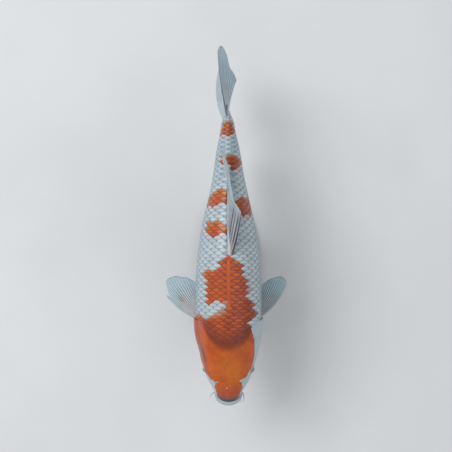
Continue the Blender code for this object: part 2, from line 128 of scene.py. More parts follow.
WHITE = (0.53, 0.60, 0.62)
# NET and ORANGE_NET darken the scales' netting, which is partly painted shade where the scales overlap; NET
# also mottles the skin and marks fin joints
NET = (0.17, 0.25, 0.33)
# FLANK darkens and cools the sides as painted shade; it is also mixed into the roots of the fins and the eye
# rims
FLANK = (0.34, 0.465, 0.535)
LIP_WHITE = (0.45, 0.55, 0.59)
PINK = (0.56, 0.42, 0.42)
ORANGE = (0.62, 0.105, 0.009)
# DEEP_ORANGE is random mottling, and on the scales also painted shade on the fish's left side
DEEP_ORANGE = (0.33, 0.040, 0.012)
DUSK = (0.155, 0.026, 0.014)
ROSE = (0.36, 0.075, 0.048)
ORANGE_NET = (0.145, 0.040, 0.024)
GOLD = (0.55, 0.21, 0.03)
# SLATE is laid on as painted shade in hollows, folds and between fin rays, and also as dark pores, pigment
# and lines
SLATE = (0.045, 0.068, 0.10)
RAY_WHITE = (0.74, 0.77, 0.76)
MEMBRANE = (0.33, 0.49, 0.58)
PUPIL = (0.002, 0.002, 0.003)
IRIS_RING = (0.52, 0.34, 0.11)
IRIS_SILVER = (0.66, 0.67, 0.62)
IRIS_GREY = (0.36, 0.39, 0.39)
IRIS_GOLD = (0.50, 0.40, 0.20)
IRIS_SHADE = (0.05, 0.06, 0.075)
EYE_DARK = (0.06, 0.055, 0.055)
METAL = (0.05, 0.053, 0.058)
METAL_WORN = (0.085, 0.088, 0.094)
FLOOR = (0.74, 0.75, 0.76)
FLOOR_SHADE = (0.70, 0.71, 0.72)

# Where the rings of an eye begin and end, in mm from its middle
PUPIL_EDGE = (2.72, 2.95)
RING_EDGE = (2.95, 3.5)
IRIS_EDGE = (5.9, 6.7)


# ---------------------------------------------------------------- shape of the bare body


def through(places, values, at):
    """A smooth curve through (place, value) points, read at these places."""
    places, values = np.asarray(places, float), np.asarray(values, float)
    slopes = np.gradient(values, places, axis=0)
    k = np.clip(np.searchsorted(places, at, side="right") - 1, 0, len(places) - 2)
    step = places[k + 1] - places[k]
    t = (at - places[k]) / step
    if values.ndim > 1:
        step, t = step[..., None], t[..., None]
    return (
        (2 * t**3 - 3 * t**2 + 1) * values[k]
        + (t**3 - 2 * t**2 + t) * step * slopes[k]
        + (3 * t**2 - 2 * t**3) * values[k + 1]
        + (t**3 - t**2) * step * slopes[k + 1]
    )


def smooth_step(low, high, value):
    t = np.clip((value - low) / (high - low), 0.0, 1.0)
    return t * t * (3 - 2 * t)


def hump(value, centre, width):
    """1 at the centre, fading to nothing about two widths away."""
    return np.exp(-(((value - centre) / width) ** 2))


def rounded(value):
    return np.sign(value) * np.abs(value) ** (2 / ROUNDNESS)


def reach_of(s):
    return np.sqrt(np.maximum(0.0, np.asarray(s, float) / LENGTH - STATIONS[0, 0]))


def body_point(reach, angle):
    """The bare body's surface, and how far round to its side that is. The angle starts at the back."""
    half, height, depth, level = (LENGTH * through(REACHES, STATIONS[:, k], reach) for k in (1, 2, 3, 4))
    side, up = rounded(np.sin(angle)), rounded(np.cos(angle))
    share = STATIONS[0, 0] + reach**2
    sway = -1.5 * (np.maximum(0.0, share - 0.72) / 0.28) ** 2
    # The stalk's end thins out into the root of the tail fin
    thin = np.clip((share * LENGTH - STALK_THINS) / (BODY_END - STALK_THINS), 0.0, 1.0)
    x = half * side * (1 - 0.92 * thin**1.4) + sway
    z = level + up * np.where(up > 0, height - level, depth + level) * (1 - 0.28 * thin**2)
    return np.stack(np.broadcast_arrays(x, share * LENGTH + 12.0 * thin**1.3, z), axis=-1), side


def body_normal(reach, angle):
    """The bare body's outward direction."""
    low = np.maximum(reach - 0.002, 0.0)
    along = body_point(reach + 0.002, angle)[0] - body_point(low, angle)[0]
    around = body_point(reach, angle + 0.004)[0] - body_point(reach, angle - 0.004)[0]
    normal = np.cross(around, along)
    size = np.linalg.norm(normal, axis=-1, keepdims=True)
    normal = np.where(size > 1e-9, normal / np.maximum(size, 1e-12), (0.0, -1.0, 0.0))
    tip = smooth_step(0.03, 0.0, reach)[..., None]
    normal = normal * (1 - tip) + tip * np.array((0.0, -1.0, 0.0))
    return normal / np.linalg.norm(normal, axis=-1, keepdims=True)


def head_edge(x, z):
    """How far back the head's bare skin reaches: round the gill covers, and over the nape in an arc."""
    ellipse = GILL_CENTRE + GILL_LENGTH * np.sqrt(np.maximum(0.0, 1 - (z / GILL_HEIGHT) ** 2))
    arc = NAPE + NAPE_SIDE[1] * np.abs(x / NAPE_SIDE[0]) ** 2.3 + 60 * smooth_step(12, -12, z)
    share = np.maximum(6.0 - np.abs(ellipse - arc), 0.0) / 6.0
    low = np.minimum(np.where(z > 40, arc, ellipse), arc)
    return low - 1.5 * share**2 * (z < 40)


# The walk round the body, tabled for one side: rows along the body and columns from back to belly.
TABLE_S = np.linspace(SNOUT + 0.5, BODY_END - 0.1, 460)
TABLE_ANGLES = np.linspace(0, math.pi, 361)


def make_walk_tables():
    points = body_point(reach_of(TABLE_S)[:, None], TABLE_ANGLES[None, :])[0]
    steps = np.linalg.norm(np.diff(points, axis=1), axis=2)
    walks = np.concatenate([np.zeros((len(TABLE_S), 1)), np.cumsum(steps, axis=1)], axis=1)
    shares = np.linspace(0, 1, len(TABLE_ANGLES))
    angles = np.array([np.interp(shares, row / row[-1], TABLE_ANGLES) for row in walks])
    return walks, shares, angles


WALKS, SHARES, ANGLES_AT_SHARE = make_walk_tables()


def half_girth(s):
    return np.interp(s, TABLE_S, WALKS[:, -1])


def walk_to_side(s):
    """From the back's ridge down to the body's widest line."""
    return np.interp(s, TABLE_S, WALKS[:, len(TABLE_ANGLES) // 2])


def read_table(table, rows, columns):
    """Values of a table between its rows and columns."""
    rows = np.clip(rows, 0, table.shape[0] - 1.001)
    columns = np.clip(columns, 0, table.shape[1] - 1.001)
    i, j = rows.astype(int), columns.astype(int)
    a, b = rows - i, columns - j
    return (
        table[i, j] * (1 - a) * (1 - b)
        + table[i + 1, j] * a * (1 - b)
        + table[i, j + 1] * (1 - a) * b
        + table[i + 1, j + 1] * a * b
    )


def table_row(s):
    return (np.asarray(s, float) - TABLE_S[0]) / (TABLE_S[1] - TABLE_S[0])


def walk_of(s, angle):
    """Distance round from the back, for an angle from 0 to pi."""
    return read_table(WALKS, table_row(s), angle / math.pi * (len(TABLE_ANGLES) - 1))


def angle_at(s, walk):
    """The angle round the body at this walk, which may pass over the back or the belly."""
    girth = 2 * half_girth(s)
    turn = np.mod(walk + girth / 2, girth) - girth / 2
    share = np.abs(turn) / (girth / 2)
    return np.sign(turn) * read_table(ANGLES_AT_SHARE, table_row(s), share * (len(SHARES) - 1))


# ---------------------------------------------------------------- markings


def inside_by(outline, walk, s):
    """How far a place lies inside an outline, in mm, negative outside it."""
    corners = np.array(outline, float)
    nearest = np.full(np.shape(walk), 1e9)
    inside = np.zeros(np.shape(walk), bool)
    for (aw, a_s), (bw, b_s) in zip(corners, np.roll(corners, -1, axis=0)):
        length = (bw - aw) ** 2 + (b_s - a_s) ** 2
        t = np.clip(((walk - aw) * (bw - aw) + (s - a_s) * (b_s - a_s)) / length, 0, 1)
        nearest = np.minimum(nearest, np.hypot(walk - aw - t * (bw - aw), s - a_s - t * (b_s - a_s)))
        crossing = (a_s > s) != (b_s > s)
        inside ^= crossing & (walk < aw + (s - a_s) * (bw - aw) / (b_s - a_s + 1e-9))
    return np.where(inside, nearest, -nearest)


def orange_by(walk, s):
    """How far inside any orange marking a place lies."""
    return np.max([inside_by(outline, walk, s) for outline in (HEAD_AND_BACK, *SPOTS)], axis=0)


# ---------------------------------------------------------------- mesh helpers


MERGED = 1e-7  # points nearer to each other than this are one


def place(points):
    """The fish's own places as points of the frame."""
    return ORIGIN + MM * np.asarray(points, float)


def new_piece(name, *replaced, slot, finish):
    """The active object becomes a named piece that rides on the fish."""
    piece = bpy.context.active_object
    piece.name = piece.data.name = name
    piece.data.materials.append(finish)
    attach(piece, "root")
    if replaced:
        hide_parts(*replaced)


def closed_piece(name, *replaced, slot, finish):
    """A new piece whose points are merged where they lie on each other, with its faces turned outwards."""
    bpy.ops.object.mode_set(mode="EDIT")
    bpy.ops.mesh.select_all(action="SELECT")
    bpy.ops.mesh.remove_doubles(threshold=MERGED)
    bpy.ops.mesh.dissolve_degenerate(threshold=MERGED)
    bpy.ops.mesh.normals_make_consistent(inside=False)
    bpy.ops.object.mode_set(mode="OBJECT")
    bpy.ops.object.shade_smooth()
    new_piece(name, *replaced, slot=slot, finish=finish)


def write_unwrap(mesh, name, u, v):
    """An unwrap of the mesh, from the places of its faces' corners."""
    unwrap = mesh.uv_layers.new(name=name)
    unwrap.data.foreach_set("uv", np.column_stack([u, v]).astype(np.float32).ravel())


def select_nothing():
    if bpy.context.object and bpy.context.object.mode != "OBJECT":
        bpy.ops.object.mode_set(mode="OBJECT")
    bpy.ops.object.select_all(action="DESELECT")


def points_of(mesh):
    flat = np.empty(len(mesh.vertices) * 3)
    mesh.vertices.foreach_get("co", flat)
    return flat.reshape(-1, 3)


def move_points(mesh, points):
    mesh.vertices.foreach_set("co", place(points).astype(np.float32).ravel())
    mesh.update()


def write_values(mesh, values):
    """Numbers at each point, by name, for the materials to read."""
    for name, numbers in values.items():
        attribute = mesh.attributes.new(name, "FLOAT", "POINT")
        attribute.data.foreach_set("value", np.asarray(numbers, np.float32))


def grid(across, along):
    """A flat grid whose unwrap the finished shape keeps, and each point's shares across and along it."""
    select_nothing()
    bpy.ops.mesh.primitive_grid_add(x_subdivisions=across, y_subdivisions=along, size=1, calc_uvs=True)
    mesh = bpy.context.active_object.data
    mesh.uv_layers[0].name = "OFBake"
    shares = points_of(mesh) + 0.5
    return mesh, shares[:, 0], shares[:, 1]


# ---------------------------------------------------------------- materials


class Value:
    """What a node gives out. Arithmetic with it adds the nodes that work it out."""

    def __init__(self, finish, socket):
        self.finish, self.socket = finish, socket

    def __add__(self, other):
        return self.finish.math("ADD", self, other)

    def __sub__(self, other):
        return self.finish.math("SUBTRACT", self, other)

    def __rsub__(self, other):
        return self.finish.math("SUBTRACT", other, self)

    def __mul__(self, other):
        return self.finish.math("MULTIPLY", self, other)

    def __truediv__(self, other):
        return self.finish.math("DIVIDE", self, other)

    def __pow__(self, other):
        return self.finish.math("POWER", self, other)

    def __abs__(self):
        return self.finish.math("ABSOLUTE", self)

    __rmul__ = __mul__


class Finish:
    """A material in the making. Most methods add one node and give back its output."""

    def __init__(self, name, roughness=0.4, coat=0.0, **fixed):
        self.material = bpy.data.materials.new(name)
        self.material.use_nodes = True
        self.tree = self.material.node_tree
        self.shader = self.tree.nodes["Principled BSDF"]
        for socket, value in {"Roughness": roughness, "Coat_Weight": coat, **fixed}.items():
            self.shader.inputs[socket.replace("_", " ")].default_value = value

    def put(self, value, socket):
        """Links a node's output to a socket, or sets a plain number or colour on it."""
        if isinstance(value, Value):
            self.tree.links.new(value.socket, socket)
        elif socket.type == "RGBA":
            socket.default_value = (*value, 1)
        else:
            socket.default_value = value

    def add(self, kind, inputs=(), output=0, **settings):
        made = self.tree.nodes.new("ShaderNode" + kind)
        for key, value in settings.items():
            setattr(made, key, value)
        for socket, value in dict(inputs).items():
            self.put(value, made.inputs[socket])
        return Value(self, made.outputs[output])

    def value(self, name):
        return self.add("Attribute", output="Fac", attribute_name=name)

    def where(self):
        return self.add("TexCoord", output="Object")

    def parts(self, vector):
        """The numbers that a vector is made of."""
        node = self.add("SeparateXYZ", {0: vector}).socket.node
        return [Value(self, output) for output in node.outputs]

    def place_on(self, unwrap):
        """Where a point lies on one of the piece's own unwraps, across and along."""
        return self.parts(self.add("UVMap", output="UV", uv_map=unwrap))[:2]

    def math(self, operation, a, b=0.0):
        return self.add("Math", {0: a, 1: b}, operation=operation)

    def length_along(self, vector, axis):
        inputs = {0: vector, 1: axis}
        return self.add("VectorMath", inputs, output="Value", operation="DOT_PRODUCT")

    def ramp(self, value, low, high, start=0.0, end=1.0, kind="SMOOTHSTEP"):
        inputs = {0: value, 1: low, 2: high, 3: start, 4: end}
        return self.add("MapRange", inputs, interpolation_type=kind)

    def wander(self, noise, low, high, start, end):
        """A value between two levels, spread evenly from start to end."""
        return self.ramp(noise, low, high, start, end, "LINEAR")

    def mix(self, share, a, b):
        return self.add("Mix", {0: share, 6: a, 7: b}, output=2, data_type="RGBA")

    def layers(self, colour, *layers):
        """A colour with others laid over it in turn, each by its share."""
        for share, over in layers:
            colour = self.mix(share, colour, over)
        return colour

    def noise(self, size, detail=2.0):
        """Soft mottling with lumps of about this size in metres."""
        inputs = {"Vector": self.where(), "Scale": 1 / size, "Detail": detail}
        return self.add("TexNoise", inputs, output="Fac")

    def relief(self, height, depth, after=None):
        inputs = {"Height": height, "Distance": depth, "Strength": 1.0}
        if after:
            inputs["Normal"] = after
        return self.add("Bump", inputs, output="Normal")

    def finish(self, colour, roughness=None, normal=None, alpha=None):
        sockets = {"Base Color": colour, "Roughness": roughness, "Normal": normal, "Alpha": alpha}
        for socket, value in sockets.items():
            if value is not None:
                self.put(value, self.shader.inputs[socket])
        return self.material


def skin_finish():
    """Bare wet skin of the head, throat and belly, with the same markings as the scales, painted shade in its
    folds and hollows, and painted cool shade on the flanks.
    """
    f = Finish("wet_skin", roughness=0.36, coat=0.10, Coat_Roughness=0.15, Specular_IOR_Level=0.3)
    broad, fine = f.noise(0.022, 3), f.noise(0.003, 3)
    white = f.layers(
        WHITE,
        (f.value("cool"), FLANK),
        (f.ramp(broad, 0.42, 0.75, 0, 0.22), NET),
        (f.ramp(f.noise(0.03), 0.45, 0.7, 0, 0.3), PINK),
        (f.value("pink"), PINK),
        (f.value("lip"), LIP_WHITE),
    )
    orange = f.layers(
        ORANGE,
        (f.ramp(broad, 0.35, 0.72, 0, 0.55), DEEP_ORANGE),
        (f.ramp(f.noise(0.009), 0.5, 0.75, 0, 0.35), GOLD),
        (0.35 * f.value("ochre"), GOLD),
        (0.8 * f.value("deep"), ROSE),
        (f.ramp(fine, 0.45, 0.8, 0, 0.3), DEEP_ORANGE),
        (f.value("nape"), DUSK),
        (f.value("freckle"), WHITE),
    )
    edge = f.value("orange") + f.wander(f.noise(0.011), 0.25, 0.75, -1.7, 1.7)
    edge = edge + f.wander(fine, 0.25, 0.75, -0.25, 0.25)
    pores = f.ramp(f.noise(0.0018, 1), 0.70, 0.80, 0, 0.16)
    marked = (f.ramp(edge, -0.9, 0.9), orange)
    colour = f.layers(white, marked, (f.value("shade"), SLATE), (pores, SLATE))
    normal = f.relief(f.noise(0.0012), 0.00004, f.relief(broad, 0.00018))
    return f.finish(colour, f.wander(fine, 0.3, 0.7, 0.28, 0.46), normal)


def scale_finish():
    """One finish for all scales: a pale or orange plate with a dark netting where the next scales lie over
    it, partly the scales' own pigment and partly painted shade of the overlap; the flanks get a painted cool
    shade.
    """
    f = Finish("koi_scales", roughness=0.36, coat=0.12, Coat_Roughness=0.2, Specular_IOR_Level=0.4)
    across, back = f.place_on("scale_place")
    across = abs(2.0 * across - 1.0)
    # Where a scale's own edge lies, and how far it shows before the next ones cover it, in spacings
    own_edge = SCALE_ARCH * across**SCALE_CURVE
    cover = f.math("MINIMUM", 1.0, SCALE_ARCH * (1.0 - across) ** SCALE_CURVE + 0.50)
    depth = 2.0 * back - own_edge
    grain = f.noise(0.0022)
    deep = depth / f.math("MAXIMUM", cover - own_edge, 0.04) + f.wander(grain, 0.3, 0.7, -0.12, 0.12)
    strong = 1.0 - f.value("plain")
    # Painted shade where the next scales lie over this one, darkest at the front corners, laid over the
    # scales' own darker lines
    net_and_shade = strong * f.ramp(deep, 0.46, 0.92)
    pocket_and_shade = strong * f.ramp(across, 0.42, 0.0) * f.ramp(deep, 0.42, 0.80)
    white = f.layers(
        WHITE,
        (f.value("cool"), FLANK),
        (f.ramp(f.noise(0.012, 3), 0.35, 0.75, 0, 0.22), NET),
        (0.85 * f.value("pink"), PINK),
        (0.55 * net_and_shade, NET),
        (0.42 * pocket_and_shade, SLATE),
        (f.ramp(deep, 0.12, 0.0, 0.0, 0.22), NET),
    )
    orange = f.layers(
        ORANGE,
        # Deeper orange at random, and painted shade on the fish's left side
        (f.value("tone_and_shade"), DEEP_ORANGE),
        (0.7 * f.value("gold"), GOLD),
        (0.8 * net_and_shade, ORANGE_NET),
        (0.20 * pocket_and_shade, SLATE),
        (f.ramp(deep, 0.14, 0.02, 0.0, 0.5), ORANGE_NET),
        (f.value("nape"), DUSK),
    )
    colour = f.layers(white, (f.value("orange"), orange), (f.value("shade"), SLATE))
    rings = f.math("SINE", 95.0 * depth)
    normal = f.relief(rings, 0.000012, f.relief(grain, 0.00012))
    return f.finish(colour, f.wander(net_and_shade, 0.0, 1.0, 0.32, 0.5), normal)


def fin_finish(name, see_through, slate, wide, forks):
    """Pale bony rays that fork twice, with thin bluish skin between them, clearer towards the edge, and
    painted shade in slate between them towards the foot.
    """
    f = Finish(name, roughness=0.38, coat=0.1, Coat_Roughness=0.2, Specular_IOR_Level=0.4)
    in_rays, out = f.place_on("ray_place")
    off = abs(f.math("FRACT", in_rays) - 0.5)
    fork = f.ramp(out, forks, 1.08, 0.0, 0.25)
    twig = f.ramp(out, forks + 0.25, 1.10, 0.0, 0.11)
    nearest = f.math("MINIMUM", abs(off - (fork - twig)), abs(off - (fork + twig)))
    ray = f.ramp(nearest / f.ramp(out, 0.45, 0.9, wide, 0.5 * wide), 1.0, 0.55)
    mottle = f.noise(0.01, 3)
    foot = f.mix(0.6, RAY_WHITE, MEMBRANE)
    # Painted shade between the rays, strongest from near the foot to the middle
    groove = f.ramp(out, 0.92, 0.45) * f.ramp(out, 0.03, 0.16, 0.0, slate)
    joints = f.ramp(f.math("SINE", 260.0 * out), 0.6, 1.0, 0, 0.10) * f.ramp(out, 0.3, 0.5)
    bone = f.layers(
        RAY_WHITE,
        (f.ramp(mottle, 0.35, 0.7, 0, 0.3), MEMBRANE),
        (f.ramp(out, 0.45, 0.95, 0, 0.7), MEMBRANE),
        (joints, NET),
    )
    colour = f.layers(
        foot,
        (f.ramp(out, 0.1, 0.8), MEMBRANE),
        (groove, SLATE),
        (ray, bone),
        (f.value("flesh"), f.mix(0.5, WHITE, FLANK)),
        (f.value("pink"), PINK),
        (f.value("slate") * f.ramp(ray, 0.0, 1.0, 1.0, 0.5), SLATE),
        (f.value("orange"), GOLD),
    )
    clear = f.ramp(out, 0.2, 0.95, 0.0, see_through) * f.ramp(ray, 0.0, 1.0, 1.0, 0.3)
    normal = f.relief(ray, 0.00012, f.relief(f.noise(0.0012), 0.00008))
    return f.finish(colour, f.wander(mottle, 0.3, 0.7, 0.32, 0.44), normal, 1.0 - clear)


def eye_finish(name, side):
    """A glossy eye: black pupil, a thin gold ring, a silvery iris that darkens upwards, and a dark rim."""
    f = Finish(name, roughness=0.25, coat=0.55, Coat_Roughness=0.02, Specular_IOR_Level=0.1)
    shift = tuple(-place(EYE * (side, 1, 1)))
    from_centre = f.add("Mapping", {"Vector": f.where(), "Location": shift})
    outwards = f.length_along(from_centre, tuple(EYE_AXIS * (side, 1, 1)))
    across = f.length_along(from_centre, from_centre) - outwards * outwards
    radius = f.math("SQRT", f.math("MAXIMUM", across, 0.0)) / MM
    radius = radius + f.wander(f.noise(0.0012), 0.3, 0.7, -0.10, 0.10)
    up = f.ramp(f.parts(from_centre)[2] / MM, 1.0, 4.6)
    iris = f.layers(
        IRIS_SILVER,
        (f.ramp(f.noise(0.0005, 3), 0.35, 0.65), IRIS_GREY),
        (f.ramp(f.noise(0.002), 0.45, 0.75, 0, 0.4), IRIS_GOLD),
        (0.45 * up, IRIS_SHADE),
    )
    colour = f.layers(
        PUPIL,
        (f.ramp(radius, *PUPIL_EDGE), IRIS_RING),
        (f.ramp(radius, *RING_EDGE), iris),
        (f.ramp(radius, *IRIS_EDGE), EYE_DARK),
    )
    return f.finish(colour)


def rim_finish():
    f = Finish("eye_rim_skin", roughness=0.35, coat=0.2)
    return f.finish(f.mix(f.ramp(f.noise(0.002, 3), 0.3, 0.7, 0.15, 0.6), FLANK, NET))


def feeler_finish():
    f = Finish("feeler_flesh", roughness=0.4, coat=0.2, Subsurface_Weight=0.08)
    colour = f.mix(f.ramp(f.noise(0.0015, 3), 0.35, 0.7), LIP_WHITE, f.mix(0.4, LIP_WHITE, PINK))
    return f.finish(colour, None, f.relief(f.noise(0.0006), 0.0001))


def metal_finish():
    """Dark satin coating with a fine grain, a little worn to grey."""
    f = Finish("satin_dark_metal", roughness=0.4, Metallic=0.85)
    colour = f.mix(f.ramp(f.noise(0.03, 4), 0.4, 0.75), METAL, METAL_WORN)
    roughness = f.wander(f.noise(0.006, 3), 0.3, 0.7, 0.34, 0.5)
    return f.finish(colour, roughness, f.relief(f.noise(0.0007), 0.00004))


def floor_finish():
    f = Finish("pale_floor", roughness=0.75)
    return f.finish(f.mix(f.ramp(f.noise(0.25, 3), 0.3, 0.7), FLOOR, FLOOR_SHADE))


# ---------------------------------------------------------------- skin


SKIN_RINGS = 330
SKIN_AROUND = 272
EDGE_PLACE = GILL_CENTRE + GILL_LENGTH
# The rings behind the head's edge: how far back each lies, and its share of the gill cover's relief
GILL_TURN = ((0.5, 0.86), (0.5, 0.60), (-0.6, 0.52), (-1.6, 0.46), (-1.9, 0.22), (-1.0, 0.04))
FRECKLES = ((-2.8, 30.5, 1.1), (2.2, 34.5, 0.7), (-1.7, 20.0, 0.5))  # as (walk, s, size)
# How far apart the rings lie from each place on
RING_SPACING = (
    (5, 0.33), (17, 0.33), (22, 0.55), (32, 0.5), (46, 0.6), (74, 0.6), (85, 1), (126, 1), (131, 0.5),
    (142, 0.5), (150, 1.5), (210, 2.6), (440, 2.2),
)


def ring_places():
    """Rings lie close together at the mouth, eyes and gill openings, and further apart behind."""
    reach = np.linspace(0, reach_of(BODY_END), 6000)
    s = SNOUT + LENGTH * reach**2
    half = LENGTH * through(REACHES, STATIONS[:, 1], reach)
    travel = np.hypot(np.gradient(s), np.gradient(half))
    spacing = np.interp(s, *zip(*RING_SPACING))
    count = np.concatenate([[0], np.cumsum(travel[1:] / spacing[1:])])
    places = np.interp(np.linspace(0, count[-1], SKIN_RINGS + 1), count, s)
    edge = np.argmin(np.abs(places - EDGE_PLACE))
    places += (EDGE_PLACE - places[edge]) * hump(places, EDGE_PLACE, 6)
    return places, edge


def mouth_line(s):
    return -5.5 - 6.0 * (s - MOUTH_FRONT) / MOUTH_DEPTH


def distance_to_lip(points, above, radius, half_width, setback, corner):
    """How far points lie outside a lip's roll, which thins towards its corners."""
    angles = np.radians(np.linspace(-corner, corner, 81))
    s = MOUTH_FRONT + setback + MOUTH_DEPTH * (1 - np.cos(angles))
    roll = np.stack([half_width * np.sin(angles), s, mouth_line(s) + above], axis=-1)
    radii = radius * (1 - 0.75 * np.abs(angles / angles[-1]) ** 4)
    nearest = np.full(points.shape[:-1], 1e9)
    for centre, size in zip(roll, radii):
        nearest = np.minimum(nearest, np.linalg.norm(points - centre, axis=-1) - size)
    return nearest


def blended(a, b, softness):
    """The nearer of two distances, with a soft fillet where they meet."""
    share = np.maximum(softness - np.abs(a - b), 0) / softness
    return np.minimum(a, b) - share * share * softness / 4


def raise_lips(points, normals):
    """How far each point of the snout stands out so that the skin runs over both lips."""
    heights = np.linspace(0, 7.0, 36)
    lift = np.zeros(len(points))
    before = np.full(len(points), -1.0)
    last = np.zeros(len(points))
    for height in heights:
        there = points + normals * height
        upper = distance_to_lip(there, **UPPER_LIP)
        lower = distance_to_lip(there, **LOWER_LIP)
        out = blended(height, blended(upper, lower, 1.0), 2.0)
        if height > 0:
            crossed = (before <= 0) & (out > 0)
            lift = np.where(crossed, last + (height - last) * before / (before - out), lift)
        before, last = out, height
    return lift


def side_place(points, centre):
    """Points measured from a place that is mirrored on both sides of the head."""
    return np.column_stack([np.abs(points[:, 0]), points[:, 1], points[:, 2]]) - centre


def line_gap(s, z, path):
    """How far places seen from the side lie from a line through (s, z) points, and how far along it."""
    path = np.array(path, float)
    nearest, along, done = np.full(np.shape(s), 1e9), np.zeros(np.shape(s)), 0.0
    lengths = np.hypot(*np.diff(path, axis=0).T)
    for (as_, az), (bs, bz), length in zip(path, path[1:], lengths):
        t = np.clip(((s - as_) * (bs - as_) + (z - az) * (bz - az)) / length**2, 0, 1)
        gap = np.hypot(s - as_ - t * (bs - as_), z - az - t * (bz - az))
        closer = gap < nearest
        nearest = np.where(closer, gap, nearest)
        along = np.where(closer, (done + t * length) / lengths.sum(), along)
        done += length
    return nearest, along


# Lines of the head seen from the side, as (s, z)
EYE_FOLD = ((46, 6), (49, 0), (56, -4.5), (65, -4.5), (73, 0), (78, 8))
CHEEK_EDGE = ((84, 26), (91, 16), (94, 2), (93, -10), (88, -22), (78, -32), (64, -38))
LOWER_COVER = ((97, 4), (103, -10), (106, -24), (102, -38), (92, -48))
JAW_FOLD = ((20, -13), (30, -20), (42, -24), (56, -26), (70, -30))
SNOUT_FOLD = ((24, 14), (30, 6), (33, -2), (31, -10), (26, -15))
BROW = ((40, 26), (56, 27), (72, 27), (88, 26))
HEAD_SIDES = 14.0  # how far out from the middle the sides of the head begin


def head_forms(points):
    """Small forms of the head as (lift, painted shade in their hollows) at each point: nostrils, eye rims,
    cheek plates and folds.
    """
    lift = np.zeros(len(points))
    shade = np.zeros(len(points))
    x, s, z = np.abs(points[:, 0]), points[:, 1], points[:, 2]
    # Nostrils: a rim round a short slanted pit, with a flap of skin standing up across it
    gap = side_place(points, NOSTRIL)
    along, across = gap[:, 1], (gap[:, 0] - gap[:, 2]) / math.sqrt(2)
    pit = np.hypot(along / 3.1, across / 2.1)
    flap = hump(along, 0.6, 0.75) * smooth_step(2.6, 1.2, np.abs(across))
    lift += 0.7 * hump(pit, 1.35, 0.35) - 2.2 * smooth_step(1.15, 0.55, pit) * (1 - flap) + 0.5 * flap
    # Painted shade in the nostril's pit
    shade = np.maximum(shade, 0.92 * smooth_step(0.95, 0.5, pit) * (1 - flap))
    # Eyes: the skin slips under the eyeball, with a soft rim, and a fold that wraps under it
    gap = side_place(points, EYE)
    outwards = gap @ EYE_AXIS
    ring = np.linalg.norm(gap - outwards[:, None] * EYE_AXIS, axis=1)
    near = (outwards > -7) * 1.0
    brow = smooth_step(-0.3, 0.7, gap[:, 2] / np.maximum(ring, 1e-6))
    lift += near * (0.22 + 0.38 * brow) * hump(ring, 6.4, 0.8)
    lift -= near * (0.12 + 0.22 * brow) * hump(ring, 8.6, 1.3)
    lift -= near * 3.6 * smooth_step(5.9, 4.9, ring)
    # Painted shade in the crease round the eyeball and in the fold under the brow
    shade = np.maximum(shade, near * 0.8 * hump(ring, 5.7, 0.6))
    shade = np.maximum(shade, 0.45 * near * hump(ring, 8.2, 1.1) * brow)
    outer = x > HEAD_SIDES
    for path, width, depth, dark in (
        (EYE_FOLD, 1.3, 0.40, 0.22),
        (CHEEK_EDGE, 1.1, 0.60, 0.30),
        (LOWER_COVER, 1.0, 0.45, 0.22),
        (JAW_FOLD, 1.5, 0.45, 0.16),
        (SNOUT_FOLD, 1.4, 0.50, 0.20),
    ):
        away, along = line_gap(s, z, path)
        fade = outer * smooth_step(0.0, 0.18, along) * smooth_step(1.0, 0.78, along)
        lift -= depth * fade * hump(away, 0, width)
        lift += 0.35 * depth * fade * hump(away, 2.4 * width, 1.2 * width)
        # Painted shade along each fold's groove
        shade = np.maximum(shade, dark * fade * hump(away, 0, 0.8 * width))
    # Ridge of bone over the eye, and soft swellings of the cheek
    ridge = hump(z - 21 - 0.12 * (s - 59), 0, 3.2) * smooth_step(40, 52, s) * smooth_step(92, 72, s)
    lift += 0.8 * ridge * outer
    lift += 0.7 * outer * hump(np.hypot((s - 74) / 13, (z + 12) / 13), 0, 1)
    # Sensory canals: rows of tiny pores over the eye, under it and down the cheek
    for path, count in ((EYE_FOLD, 15), (CHEEK_EDGE, 19), (BROW, 16)):
        away, along = line_gap(s, z, [(a + 2.6, b - 2.6) for a, b in path])
        beads = hump(np.abs(np.mod(along * count, 1) - 0.5), 0, 0.22) * hump(away, 0, 0.5) * outer
        lift -= 0.18 * beads
        shade = np.maximum(shade, 0.22 * beads)
    # Faint rays of bone on the gill cover, fanning from its upper front corner
    fan = np.arctan2(20 - z, s - 92)
    plate = outer * smooth_step(94, 104, s) * smooth_step(34, 22, z) * smooth_step(-52, -40, z)
    lift += 0.09 * plate * (np.sin(fan * 30) + 0.5 * np.sin(fan * 47 + 1.0))
    # Folds under the throat, along the gill membranes
    throat = smooth_step(-26, -36, z) * smooth_step(48, 60, s) * smooth_step(122, 104, s)
    folds = np.sin((x - 0.10 * s) * 0.95)
    lift += 0.35 * throat * folds
    # Painted shade in the troughs between the throat folds
    shade = np.maximum(shade, 0.10 * throat * (0.5 - 0.5 * folds))
    return np.array((lift, shade))


def lip_colour(points):
    """Where the skin is lip, the fold between lip and snout, the cleft of the mouth, and dusk over it."""
    upper = distance_to_lip(points, **UPPER_LIP)
    lower = distance_to_lip(points, **LOWER_LIP)
    lip = np.maximum(smooth_step(0.9, 0.2, upper), smooth_step(0.9, 0.2, lower))
    above = smooth_step(-1.0, 1.5, points[:, 2] - mouth_line(points[:, 1]) - 2.5)
    fold = hump(upper, 1.9, 1.5) * above
    cleft = hump(points[:, 2] - mouth_line(points[:, 1]) - 0.2, 0, 0.9) * smooth_step(24, 20, points[:, 1])
    dusk = smooth_step(17.0, 4.0, upper) * above * (1 - lip)
    return lip, fold, cleft * (upper < 3), dusk


def under_coat(s):
    """How much of the coat's depth the skin is sunk by: all of it, but for the root of the tail fin."""
    return smooth_step(BODY_END - 2, BODY_END - 14, s)


